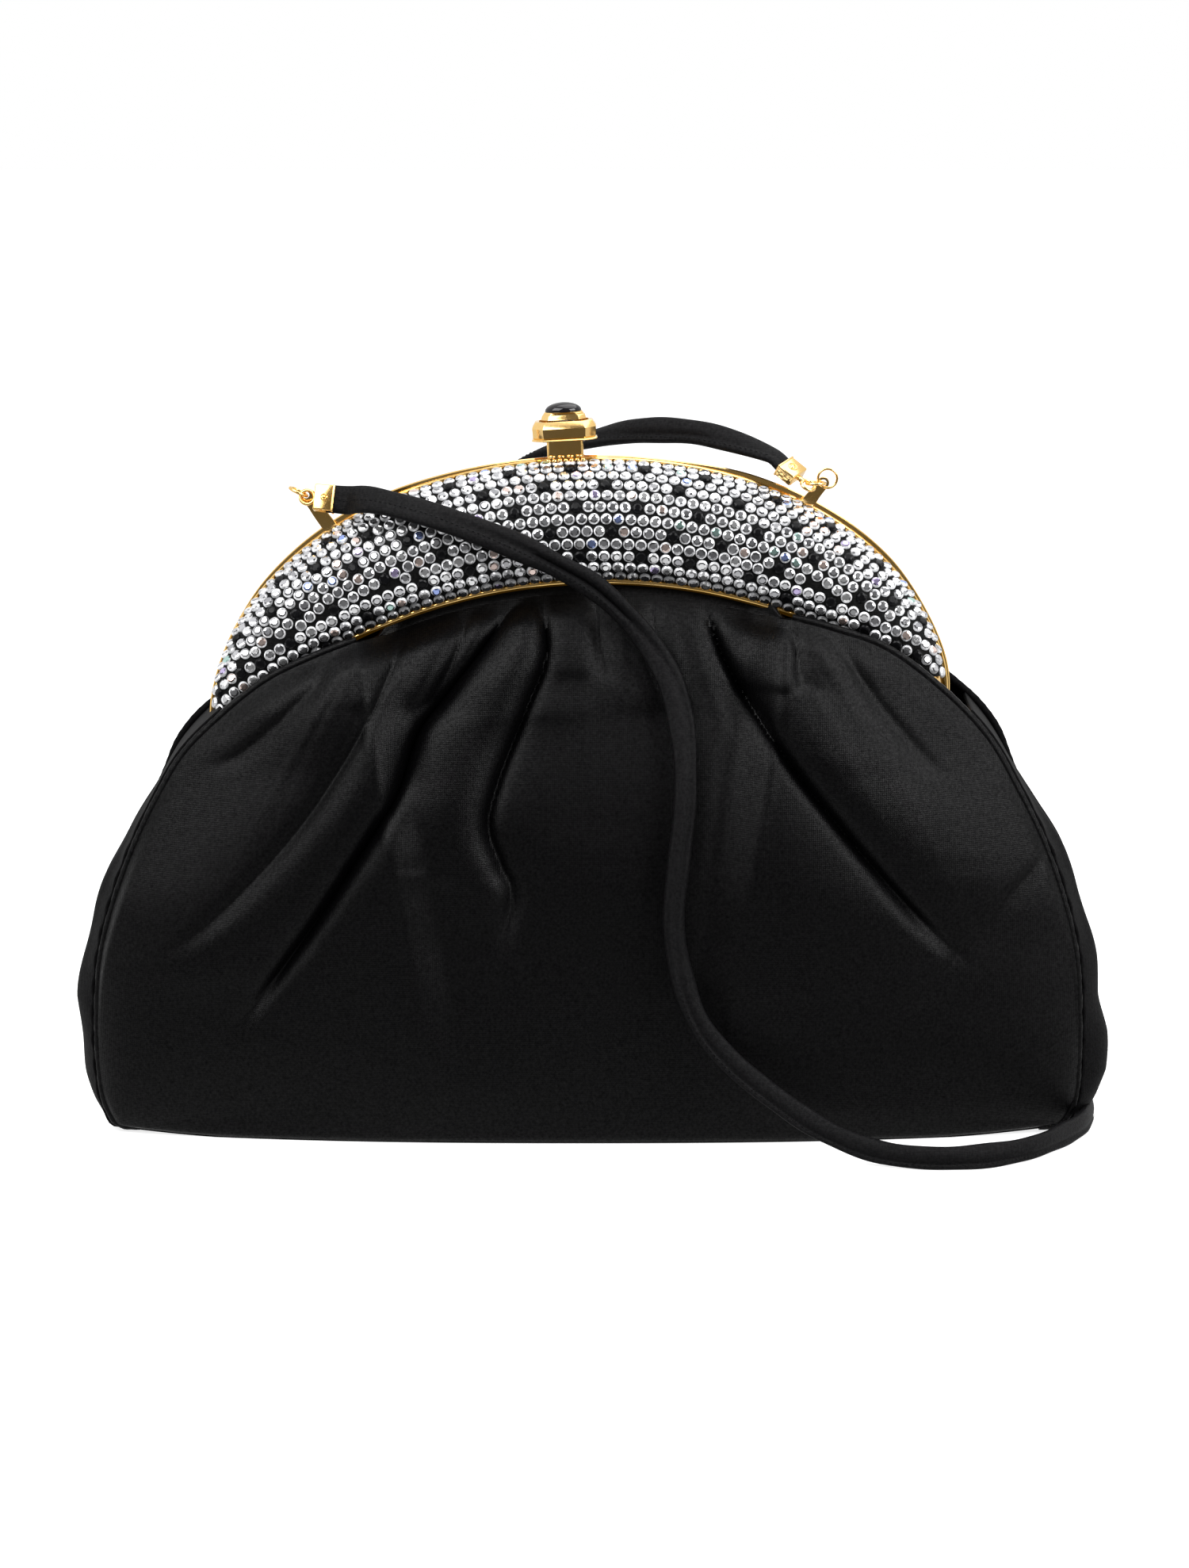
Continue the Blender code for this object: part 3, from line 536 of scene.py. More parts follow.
class Band:
    """The front half's curved surface as a table over the arch's angle and the share of its width."""

    def __init__(self):
        self.angles = np.linspace(math.pi, 0, BAND_STEPS + 1)
        shares = np.linspace(0, 1, BAND_ROWS + 1)
        self.points = np.zeros((BAND_STEPS + 1, BAND_ROWS + 1, 3))
        self.normals = np.zeros_like(self.points)
        self.widths = np.zeros(BAND_STEPS + 1)
        for k, theta in enumerate(self.angles):
            outer, inner = arch_edges(theta)
            width = np.linalg.norm(inner - outer)
            across = (inner - outer) / width
            bulge = BULGE_END + (BULGE_MID - BULGE_END) * width / BAND_WIDTH
            crest = width * CREST_SHARE
            phi = np.radians(90 - (90 + TUCK_DEG) * np.linspace(0, 1, 97))
            reach = np.where(phi > 0, crest, (width - crest) / math.sin(math.radians(TUCK_DEG)))
            depth = np.where(phi > 0, bulge, bulge * TUCK_DEPTH)
            flat = outer + across * (crest - reach * np.sin(phi))[:, None]
            y = -GAP / 2 - bulge + depth * (1 - np.cos(phi))
            points = np.column_stack([flat[:, 0], y, flat[:, 1]])
            inward = -np.sin(phi) / reach
            normals = unit(np.column_stack([across[0] * inward, -np.cos(phi) / depth, across[1] * inward]))
            length = distances_along(points)
            self.widths[k] = length[-1]
            for axis in range(3):
                self.points[k, :, axis] = np.interp(shares * length[-1], length, points[:, axis])
                self.normals[k, :, axis] = np.interp(shares * length[-1], length, normals[:, axis])
        self.normals = unit(self.normals)

    def width(self, step):
        return np.interp(step, np.arange(BAND_STEPS + 1), self.widths)

    def at(self, step, distance):
        """Points and normals at places along the arch (in steps) and in from the outer edge (in mm)."""
        step, distance = np.asarray(step, float), np.asarray(distance, float)
        share = np.clip(distance / self.width(step), 0, 1) * BAND_ROWS
        i = np.clip(step.astype(int), 0, BAND_STEPS - 1)
        j = np.clip(share.astype(int), 0, BAND_ROWS - 1)
        a, b = (step - i)[..., None], (share - j)[..., None]

        def blend(table):
            low = table[i, j] * (1 - b) + table[i, j + 1] * b
            high = table[i + 1, j] * (1 - b) + table[i + 1, j + 1] * b
            return low * (1 - a) + high * a

        return blend(self.points), unit(blend(self.normals))


BAND = Band()


def to_world(points):
    matrix = np.array(LEAN)
    return np.asarray(points) @ matrix[:3, :3].T + matrix[:3, 3]


LIP = ((0, 0.0), (0, 0.5), (0.1, 0.85), (0.33, 1.08), (0.77, 1.08), (1.0, 0.85), (RIM, 0.5), (RIM, 0.0))


def lip(start, sign, tall):
    """One rounded rim of the channel, as (distance, height)."""
    return [(start + sign * d, h + (tall if h > 0.8 else 0)) for d, h in LIP]


def rim_flare(x, side):
    """How much taller the outer rim is: the rear one shows above the front one, most of all at the right."""
    if side == 1:
        return 0.22
    right = 0.85 * smoothstep((x - 20) / 20) * (1 - 0.7 * smoothstep((x - 66) / 8))
    left = 0.85 * np.exp(-(((x + 45) / 22) ** 2)) - 0.35 * smoothstep((-64 - x) / 8)
    return 0.45 + right + left


# The hinge ears: their span along x for the front (1) and rear (-1) half, and their outline in y and z.
EAR_SPANS = {1: (73.9, 75.3), -1: (72.2, 73.6)}
EAR_RADIUS = 2.6
EAR_ANGLES = [math.radians(a) for a in range(60, -181, -12)]
EAR_OUTLINE = [(EAR_RADIUS * math.cos(a), EAR_RADIUS * math.sin(a)) for a in EAR_ANGLES]
EAR_OUTLINE += [(-5.3, 3.8), (-5.3, 8.6), (-1.2, 8.6), (-1.2, 6.0)]


def frame_half(name, side, material):
    """The channel-shaped band with rounded rims, hinge ears and the prongs that hold the last rows."""
    parts = Parts()
    rings = []
    for step in range(BAND_STEPS + 1):
        total = BAND.widths[step]
        tall = rim_flare(BAND.points[step, 0, 0], side)
        section = lip(0, 1, tall) + [(d, 0) for d in np.linspace(RIM, total - RIM, 12)[1:-1]]
        section += lip(total, -1, 0.25)[::-1]
        section += [(d, -WALL) for d in np.linspace(total, 0, 12)]
        distances, heights = np.array(section).T
        points, normals = BAND.at(np.full(len(section), step), distances)
        points = points + normals * heights[:, None]
        notch = (np.abs(points[:, 0]) < NOTCH_HALF) & (points[:, 2] > ARCH_BASE + ARCH_HEIGHT - 4)
        points[notch, 1] = np.minimum(points[notch, 1], -NOTCH_DEPTH)
        points[:, 1] *= side
        rings.append(to_world(points))
    parts.loft(rings)

    steps = np.arange(8, BAND_STEPS - 7)
    bead, ways = BAND.at(steps, BAND.width(steps) - BEAD_INSET)
    bead = bead + ways * BEAD_HEIGHT
    bead[:, 1] *= side
    parts.loft(tube_rings(to_world(bead), np.full(len(steps), BEAD_RADIUS), 12))

    low, high = EAR_SPANS[side]
    middle = np.mean(EAR_OUTLINE, axis=0)
    for way in (-1, 1):
        layers = []
        for x, scale in ((low, 0.93), (low + 0.15, 1.0), (high - 0.15, 1.0), (high, 0.93)):
            flat = middle + (np.array(EAR_OUTLINE) - middle) * scale
            layers.append(to_world([(way * x, y * side, z) for y, z in flat]))
        parts.loft(layers)

    for step in walk(lambda s: BAND.width(s) - RIM, 2.1, 14, BAND_STEPS - 14):
        prong(parts, step, BAND.width(step) - RIM, -1, (0.42, 0.1, 1.1, 0.95), side)
    for step in walk(lambda s: np.full_like(s, RIM), 1.75, 10, BAND_STEPS - 10):
        prong(parts, step, RIM, 1, (0.38, 0.1, 0.5, 1.0), side)
    return parts.piece(name, material, 35)


def prong(parts, step, edge, way, size, side):
    """A small pyramid that reaches from a rim over the nearest stones."""
    half, back, out, tall = size
    reach = half * per_mm(step, edge)
    foot = edge - way * back
    places = [(step - reach, foot, tall), (step + reach, foot, tall)]
    places += [(step, edge + way * out, 0.95), (step, edge, 0.1)]
    points = []
    for at, distance, height in places:
        p, n = BAND.at(np.array([at]), np.array([distance]))
        p = p[0] + n[0] * height
        points.append((p[0], p[1] * side, p[2]))
    parts.add(to_world(points), [(0, 1, 2), (0, 3, 1), (1, 3, 2), (2, 3, 0)])


def per_mm(step, distance):
    """Steps of the band's table for one millimetre along the arch."""
    p, _ = BAND.at(np.array([step - 0.5, step + 0.5]), np.array([distance, distance]))
    return 1.0 / max(np.linalg.norm(p[1] - p[0]), 1e-6)


def walk(distance_of, pitch, first, last, offset=0.0):
    """Steps along the arch a pitch apart, at a distance from the outer edge that may change."""
    steps = np.linspace(first, last, 900)
    points, _ = BAND.at(steps, distance_of(steps))
    along = distances_along(points)
    return np.interp(np.arange(offset * pitch, along[-1], pitch), along, steps)


# ---------------------------------------------------------------- stones


# Distances between the stones' middles in mm. Held rows follow the inner rim. A stone of the other rows goes
# if it is nearer than HELD_GAP to a held one, and holes wider than FILL_GAP are filled. Then stones nearer
# than SPREAD_GAP push apart, and one of each pair that still is nearer than LAST_GAP is left out.
HELD_ROWS = 3
OTHER_ROWS = 12
HELD_GAP = 2.0
FILL_GAP = 2.12
SPREAD_GAP = 2.46
SPREAD_PUSH = 0.28
SPREAD_ROUNDS = 34
LAST_GAP = 2.2
FAR = 99


def stone_places():
    """Where the stones sit: rows from both rims, then rounds in which near ones push apart."""
    steps, distances, fixed = [], [], []

    def row(distance_of, offset, held):
        for step in walk(distance_of, STONE_PITCH, 5, BAND_STEPS - 5, offset):
            distance = float(distance_of(np.array([step]))[0])
            room = BAND.width(step) - STONE_EDGE
            if held or distance < room - 0.86 * ROW_PITCH:
                if STONE_EDGE - 0.01 <= distance <= room + 0.01:
                    steps.append(step)
                    distances.append(distance)
                    fixed.append(held)

    for k in range(HELD_ROWS):
        row(lambda s, k=k: BAND.width(s) - STONE_EDGE - k * ROW_PITCH, 0.5 * (k % 2), True)
    for k in range(OTHER_ROWS):
        row(lambda s, k=k: np.full_like(s, STONE_EDGE + k * ROW_PITCH), 0.5 * (k % 2), False)
    fixed = np.array(fixed)
    spots, _ = BAND.at(np.array(steps), np.array(distances))
    near = np.linalg.norm(spots[:, None] - spots[fixed][None], axis=2).min(1)
    kept = fixed | (near >= HELD_GAP)
    steps, distances = (list(np.array(v)[kept]) for v in (steps, distances))
    taken = list(spots[kept])
    for step in np.arange(6, BAND_STEPS - 6, 0.5):
        for distance in np.arange(STONE_EDGE, BAND.width(step) - STONE_EDGE, 0.6):
            spot, _ = BAND.at(np.array([step]), np.array([distance]))
            if np.linalg.norm(np.array(taken) - spot[0], axis=1).min() > FILL_GAP:
                taken.append(spot[0])
                steps.append(step)
                distances.append(distance)
    steps, distances = np.array(steps), np.array(distances)
    for _ in range(SPREAD_ROUNDS):
        points, _ = BAND.at(steps, distances)
        apart = points[:, None] - points[None]
        gap = np.linalg.norm(apart, axis=2)
        np.fill_diagonal(gap, FAR)
        push = np.where(gap < SPREAD_GAP, (SPREAD_GAP - gap) / np.maximum(gap, 0.3), 0.0)
        move = SPREAD_PUSH * (apart * push[..., None]).sum(1)
        along, _ = BAND.at(np.clip(steps + 0.5, 0, BAND_STEPS), distances)
        inward, _ = BAND.at(steps, distances + 0.5)
        speed = np.linalg.norm(along - points, axis=1) * 2
        along, inward = unit(along - points), unit(inward - points)
        steps = np.clip(steps + (move * along).sum(1) / np.maximum(speed, 0.2), 4, BAND_STEPS - 4)
        room = BAND.width(steps) - STONE_EDGE
        distances = np.clip(distances + (move * inward).sum(1), STONE_EDGE, np.maximum(room, STONE_EDGE))
    points, normals = BAND.at(steps, distances)
    gap = np.linalg.norm(points[:, None] - points[None], axis=2)
    np.fill_diagonal(gap, FAR)
    alive = np.ones(len(steps), bool)
    for i in np.argsort(gap.min(1)):
        if alive[i] and (gap[i][alive] < LAST_GAP).any():
            alive[i] = False
    return points[alive], normals[alive]


def jet_places(points):
    """The stones nearest to an even, staggered pattern are black."""
    chosen = set()
    for m in range(JET_ROWS):
        distance = STONE_EDGE + (1 + 2 * m) * ROW_PITCH
        lattice = walk(lambda s: np.full_like(s, distance), 1.0, 6, BAND_STEPS - 6)
        shift = 0.5 * (m % 2)
        for k in range(JETS_PER_ROW):
            place = (k + shift + 0.25) / JETS_PER_ROW
            if place >= 1:
                continue
            step = lattice[int(place * (len(lattice) - 1))]
            if distance > BAND.width(step) - STONE_EDGE - 0.5:
                continue
            spot, _ = BAND.at(np.array([step]), np.array([distance]))
            near = np.linalg.norm(points - spot[0], axis=1)
            if near.min() < JET_REACH:
                chosen.add(int(near.argmin()))
    return chosen


# Painted reflections for the stones' tables, in place of what they mirror: the share of the stones and their
# tone.
TABLE_REFLECTIONS = [
    (0.52, (0.58, 0.58, 0.60)),
    (0.22, (0.86, 0.86, 0.87)),
    (0.13, (0.40, 0.40, 0.42)),
    (0.07, (0.85, 0.68, 0.62)),
    (0.02, (0.35, 0.45, 0.85)),
    (0.02, (0.60, 0.50, 0.80)),
    (0.02, (0.45, 0.65, 0.60)),
]


def table_reflection_tone(rng):
    pick = rng.random()
    for share, tone in TABLE_REFLECTIONS:
        if pick < share:
            return tone
        pick -= share
    return TABLE_REFLECTIONS[0][1]


# A stone's rings of points, from its back to its table: how many, their radius as a share, their height.
STONE_RINGS = ((16, 1.0, 0.0), (16, 1.0, 0.26), (8, 0.8, 0.62), (8, 0.5, 0.74))


def stones(name, places, jets, want_jets, side, materials):
    """Flat-backed cut stones: a girdle of sixteen, a crown of kites and an eight-sided table."""
    rng = random.Random(STONE_SEED)
    points, faces, tones, slots = [], [], [], []
    for k, (p, n) in enumerate(zip(*places)):
        if (k in jets) != want_jets:
            rng.random()
            continue
        n = np.array([n[0], n[1] * side, n[2]])
        p = np.array([p[0], p[1] * side, p[2]]) + n * STONE_FOOT
        n = unit(n + np.array([rng.uniform(-1, 1) for _ in range(3)]) * 0.075)
        a = unit(np.cross(n, (0.3, 0.2, 1.0)))
        b = np.cross(n, a)
        turn = rng.uniform(0, math.pi / 4)
        radius = STONE_RADIUS * rng.uniform(0.97, 1.01)
        start = len(points)
        for count, reach, height in STONE_RINGS:
            for t in turns(count):
                way = a * math.cos(turn + t) + b * math.sin(turn + t)
                points.append(p + way * reach * radius + n * height)
        low, girdle, top, centre = start, start + 16, start + 32, start + 40
        # Stones that face downwards get painted shade: all their tones are made up to 72 percent darker.
        underside_shade = 1 - 0.72 * float(smoothstep((-n[2] - 0.5) / 0.25))
        # Each table gets a painted reflection, picked at random.
        table = np.array(table_reflection_tone(rng)) * underside_shade
        for i in range(16):
            j = (i + 1) % 16
            faces.append((low + i, low + j, girdle + j, girdle + i))
            tones.append((0.6 * underside_shade, 0.61 * underside_shade, 0.63 * underside_shade))
            slots.append(1)
        for i in range(8):
            j = (i + 1) % 8
            left, mid, right = girdle + (2 * i - 1) % 16, girdle + 2 * i, girdle + 2 * i + 1
            # Each kite of the crown gets a painted reflection, a brightness picked at random.
            light = rng.choice((0.95, 0.9, 0.8, 0.65, 0.45))
            for face in ((left, mid, top + i), (mid, right, top + i), (right, top + j, top + i)):
                faces.append(face)
                shade = light * rng.uniform(0.85, 1.0) * underside_shade
                tones.append((shade, shade, min(1.0, shade * 1.02)))
                slots.append(1)
            # The kites round the table carry the table's painted reflection, darker at random.
            faces.append((top + i, top + j, centre + j, centre + i))
            tones.append(tuple(table * (1.1 - 0.9 * rng.random() ** 1.5)))
            slots.append(0)
        faces.append(tuple(centre + i for i in range(8)))
        tones.append(tuple(table))
        slots.append(0)
        faces.append(tuple(low + i for i in reversed(range(16))))
        tones.append((0.3, 0.3, 0.3))
        slots.append(0)
    if want_jets:
        tones = [(0.003, 0.003, 0.0035)] * len(faces)
    mesh = bpy.data.meshes.new(name)
    mesh.from_pydata((to_world(points) * MM).tolist(), [], faces)
    layer = mesh.color_attributes.new("tone", "FLOAT_COLOR", "CORNER")
    spread = np.repeat(np.array([(*t, 1.0) for t in tones]), [len(f) for f in faces], axis=0)
    layer.data.foreach_set("color", spread.astype(np.float32).ravel())
    if side == -1:
        mesh.flip_normals()
    for paint in materials:
        mesh.materials.append(paint)
    if len(materials) > 1:
        mesh.polygons.foreach_set("material_index", slots)
    return add_object(name, mesh)


def bed(name, side, material):
    """The black ground between the stones."""
    rings = []
    for step in range(6, BAND_STEPS - 5):
        across = np.linspace(RIM + 0.02, BAND.widths[step] - RIM - 0.02, 16)
        distances = np.concatenate([across, across[::-1]])
        heights = np.array([0.62] * 16 + [0.12] * 16)
        points, normals = BAND.at(np.full(32, step), distances)
        points = points + normals * heights[:, None]
        points[:, 1] *= side
        rings.append(to_world(points))
    parts = Parts()
    parts.loft(rings)
    return parts.piece(name, material)


# ---------------------------------------------------------------- the clasp

# Each level is an outline with cut corners: half sizes along x and y, the corners' cut, and the height.
POST_LEVELS = ((3.8, 2.8, 0.5, 58.0), (3.8, 2.8, 0.5, 61.6))
COLLAR_LEVELS = (
    (6.2, 4.1, 2.2, 61.75),
    (6.85, 4.75, 2.4, 61.9),
    (6.85, 4.75, 2.4, 62.05),
    (6.5, 4.35, 2.3, 62.42),
    (6.6, 4.5, 2.3, 62.6),
    (6.7, 4.6, 2.3, 64.5),
    (6.6, 4.4, 2.3, 64.85),
    (6.05, 3.75, 2.1, 65.75),
    (5.85, 3.6, 2.0, 65.9),
    (5.2, 3.45, 1.65, 65.9),
    (5.1, 3.4, 1.6, 65.75),
    (5.1, 3.4, 1.6, 63.0),
)
BUTTON_LEVELS = (
    (4.35, 2.7, 1.35, 66.12),
    (4.7, 3.05, 1.5, 66.22),
    (4.65, 2.95, 1.5, 66.4),
    (4.5, 2.65, 1.45, 67.0),
    (4.35, 2.6, 1.4, 67.1),
    (4.25, 2.6, 1.5, 67.15),
    (4.15, 2.5, 1.5, 67.45),
    (4.0, 2.45, 1.45, 67.52),
    (3.95, 2.85, 1.9, 67.72),
    (3.8, 2.7, 1.9, 67.8),
)
# Rows of drops on the post: how many, first x, pitch, depth, height, lean, then the drop's dome.
POST_DROPS = (
    (4, -2.85, 1.9, 2.8, 58.5, 0.25, (0.72, 0.42, 5, 14, 0.55)),
    (7, -3.6, 1.2, 3.0, 57.75, 0.4, (0.5, 0.34, 4, 10, 0.8)),
)
CABOCHON_FOOT = 67.72
CABOCHON_GIRDLE = (3.78, 2.78)
CABOCHON_DOME = (3.82, 1.75, 12, 40, 0.736)
CORNER_ROUND = 0.14


def octagon(half_x, half_y, cut):
    """A rectangle with cut corners, each new corner a little rounded."""
    quarter = [(half_x, half_y - cut), (half_x - cut, half_y)]
    half = quarter + [(-x, y) for x, y in reversed(quarter)]
    corners = half + [(-x, -y) for x, y in half]
    corners = np.array([corners[-1]] + corners[:-1])
    made = []
    for k, c in enumerate(corners):
        reach = CORNER_ROUND * min(1.0, cut)
        one, two = (c + unit(other - c) * reach for other in (corners[k - 1], corners[(k + 1) % 8]))
        made += [tuple(one), tuple((one + two + c * 2) / 4), tuple(two)]
    return made


def stack(levels):
    """A solid through cut-corner outlines, in the frame's axes."""
    parts = Parts()
    parts.loft([to_world([(x, y, level[3]) for x, y in octagon(*level[:3])]) for level in levels])
    return parts


def clasp(gold, onyx, steel):
    post = stack(POST_LEVELS)
    for front in (-1, 1):
        for count, first, pitch, depth, height, lean, dome in POST_DROPS:
            for k in range(count):
                spot = (first + pitch * k, front * depth, height)
                place = LEAN @ axes_at(spot, (1, 0, 0), (0, front, lean))
                post.loft([moved(ring, place) for ring in dome_rings(*dome)])
    dress(post.piece("clasp_post_looks", gold, 50), "front_half", "polished_gold", "clasp_post")
    collar = stack(COLLAR_LEVELS).piece("clasp_collar_looks", gold, 28)
    dress(collar, "front_half", "polished_gold", "clasp_collar")
    button = stack(BUTTON_LEVELS).piece("push_button_looks", gold, 28)
    dress(button, "button", "polished_gold", "push_button")

    stone = Parts()
    base = LEAN @ Matrix.Translation((0, 0, CABOCHON_FOOT))
    foot = [(CABOCHON_GIRDLE[0] * math.cos(t), CABOCHON_GIRDLE[1] * math.sin(t), 0.0) for t in turns(40)]
    rings = [moved(foot, base)]
    for ring in dome_rings(*CABOCHON_DOME):
        rings.append([base @ Vector((x, y, z + 0.18)) for x, y, z in ring])
    stone.loft(rings)
    dress(stone.piece("onyx_cabochon_looks", onyx, 60), "button", "onyx", "onyx_cabochon")

    spring = Parts()
    low, high = SPRING_SPAN
    rings = []
    for turn in np.linspace(0, SPRING_TURNS, SPRING_STATIONS):
        radial = np.array((math.cos(2 * math.pi * turn), math.sin(2 * math.pi * turn), 0.0))
        centre = radial * SPRING_RADIUS + (0, 0, low + (high - low) * turn / SPRING_TURNS)
        ways = [radial * math.cos(t) + (0, 0, math.sin(t)) for t in turns(10)]
        rings.append(to_world([centre + way * SPRING_WIRE for way in ways]))
    spring.loft(rings)
    spring_piece = spring.piece("button_spring_looks", steel, 60)
    foot = LEAN @ Vector((0, 0, low)) * MM
    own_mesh(spring_piece)
    dress(spring_piece, "front_half", "spring_steel", "button_spring")


# ---------------------------------------------------------------- strap and its fittings

# The strap's two ends in metres, and its route in millimetres with the way its face looks at each point.
STRAP_START = (-0.05219, -0.00379, 0.13406)
STRAP_END = (0.04143, -0.00074, 0.14115)
STRAP_ROUTE = [
    (-44.1, -9.0, 134.5, 0.05, -0.85, 0.50), (-34.2, -13.8, 132.8, 0.05, -0.75, 0.60),
    (-24.1, -16.6, 129.8, 0.05, -0.85, 0.45), (-14.1, -17.5, 126.0, 0.03, -0.95, 0.30),
    (-4.1, -18.0, 121.2, 0.00, -0.98, 0.12), (3.0, -17.5, 116.8, 0.00, -1.00, 0.00),
    (9.6, -17.5, 110.5, 0.05, -0.98, -0.10), (14.8, -19.0, 103.8, 0.10, -0.98, 0.05),
    (18.4, -21.0, 97.0, 0.15, -0.97, 0.20), (20.6, -24.0, 87.0, 0.20, -0.95, 0.25),
    (21.0, -27.5, 75.0, 0.25, -0.95, 0.15), (19.8, -29.5, 63.0, 0.35, -0.93, 0.10),
    (18.6, -30.5, 50.0, 0.45, -0.89, 0.05), (20.0, -30.5, 39.2, 0.40, -0.90, 0.05),
    (23.6, -30.5, 28.5, 0.25, -0.96, 0.10), (30.2, -31.0, 20.0, 0.10, -0.98, 0.10),
    (40.1, -33.5, 12.2, 0.05, -0.99, 0.10), (49.9, -37.0, 6.4, 0.00, -0.99, 0.10),
    (59.8, -41.0, 3.2, 0.00, -0.99, 0.12), (69.6, -44.5, 2.5, 0.00, -0.99, 0.14),
    (80.2, -44.0, 2.5, 0.15, -0.97, 0.14), (91.2, -37.5, 2.5, 0.60, -0.78, 0.14),
    (99.5, -26.0, 2.5, 0.85, -0.50, 0.14), (106.2, -10.5, 2.5, 0.98, -0.15, 0.12),
    (107.4, 10.0, 2.5, 0.98, 0.15, 0.12), (98.5, 31.0, 2.5, 0.70, 0.70, 0.12),
    (78.0, 43.0, 2.5, 0.30, 0.95, 0.12), (50.0, 47.0, 2.5, 0.00, 0.99, 0.12),
    (20.0, 45.0, 2.5, -0.10, 0.99, 0.12), (-6.0, 40.5, 3.0, -0.20, 0.97, 0.12),
    (-22.0, 35.5, 9.0, -0.15, 0.98, 0.10), (-31.0, 32.0, 24.0, -0.10, 0.99, 0.05),
    (-34.5, 31.0, 44.0, -0.05, 0.99, 0.00), (-35.5, 31.0, 64.0, 0.00, 0.99, 0.05),
    (-35.5, 35.0, 82.0, 0.00, 0.97, -0.20), (-34.5, 41.5, 97.0, -0.05, 0.97, -0.20),
    (-31.0, 45.0, 112.5, -0.20, 0.97, 0.05), (-24.0, 42.0, 126.0, -0.35, 0.80, 0.45),
    (-11.0, 31.0, 138.5, -0.45, 0.35, 0.80), (3.0, 20.0, 144.3, -0.35, -0.45, 0.80),
    (12.5, 13.0, 146.6, -0.20, -0.90, 0.40), (23.0, 6.5, 147.0, -0.10, -0.92, 0.38),
    (31.5, 2.8, 145.4, 0.10, -0.75, 0.60),
]

LEFT_EYE = (-57.9, -3.1, 134.4)
LEFT_LINK = (-59.8, -2.0, 135.4)
LEFT_LINK_RUN = (-0.9, 0.0, 0.43)
LEFT_CAP_AXIS = (1.0, -0.12, -0.06)
LEFT_CAP_WIDTH = (0.36, 0.35, 0.93)
RIGHT_EYE = (46.9, -3.1, 136.9)
RIGHT_LINK = (48.55, -2.0, 137.2)
RIGHT_LINK_RUN = (1.0, 0.0, 0.0)
RIGHT_CAP_AXIS = (-0.75, 0.33, 0.57)
RIGHT_CAP_WIDTH = (0.56, 0.8, 0.22)
RIGHT_STUB = 1.2
CAP_SIZE = (4.3, 2.6, 5.6)
EYE_RADIUS = 1.5
EYE_WIRE = 0.36
STRAP_STATIONS = 560


def strap_frame():
    """Centres, tangents, face directions and width directions along the strap, in millimetres."""
    left = Vector(LEFT_CAP_AXIS).normalized()
    right = Vector(RIGHT_CAP_AXIS).normalized()
    start, finish = Vector(STRAP_START) / MM, Vector(STRAP_END) / MM
    left_face = Vector(LEFT_CAP_WIDTH).cross(left).normalized()
    right_face = right.cross(Vector(RIGHT_CAP_WIDTH)).normalized()
    left_face = left_face if left_face.y < 0 else -left_face
    right_face = right_face if right_face.z > 0 else -right_face
    knots = [(*start, *left_face), (*(start + left * 3), *left_face)]
    knots += STRAP_ROUTE
    knots += [(*(finish + right * 3), *right_face), (*finish, *right_face)]
    run = smooth_run(knots, STRAP_STATIONS)
    centres, faces = run[:, :3], unit(run[:, 3:])
    tangents = unit(np.gradient(centres, axis=0))
    faces = unit(faces - tangents * (faces * tangents).sum(1)[:, None])
    widths = np.cross(tangents, faces)
    return centres, tangents, faces, widths


# How the strap's section changes along it: distances in mm, where a negative one counts back from the far
# end, and the values there and at the far end itself. In turn: half its width, half its thickness, how deep
# the groove is, and the groove's place as a share of half the width.
STRAP_SECTION = (
    (
        [0, 12, 30, 60, 75, 95, 115, 140, 175, -70, -30, -8],
        [3.1, 3.05, 2.9, 2.6, 2.55, 2.8, 2.35, 2.4, 2.45, 2.45, 2.75, 2.7, 2.5],
    ),
    ([0, 10, 40, 60, 80, 115, 140, 175, -30], [0.85, 1.05, 1.2, 1.45, 1.1, 1.35, 1.2, 1.25, 1.35, 0.95]),
    (
        [0, 12, 35, 50, 66, 85, 110, 140, 170, -60, -20],
        [0.05, 0.1, 0.3, 0.8, 0.85, 0.25, 0.45, 0.4, 0.5, 0.45, 0.5, 0.2],
    ),
    ([0, 40, 66, 95, 120, 150, 190], [0.0, 0.05, 0.05, -0.45, -0.3, 0.35, 0.5, 0.4]),
)
STRAP_SIDES = 36
STRAP_END_HIDDEN = 1.6
STITCH_PITCH = 1.15
STITCH_SHAPE = ((-0.3, 0.04), (-0.18, 0.1), (0.18, 0.1), (0.3, 0.04))


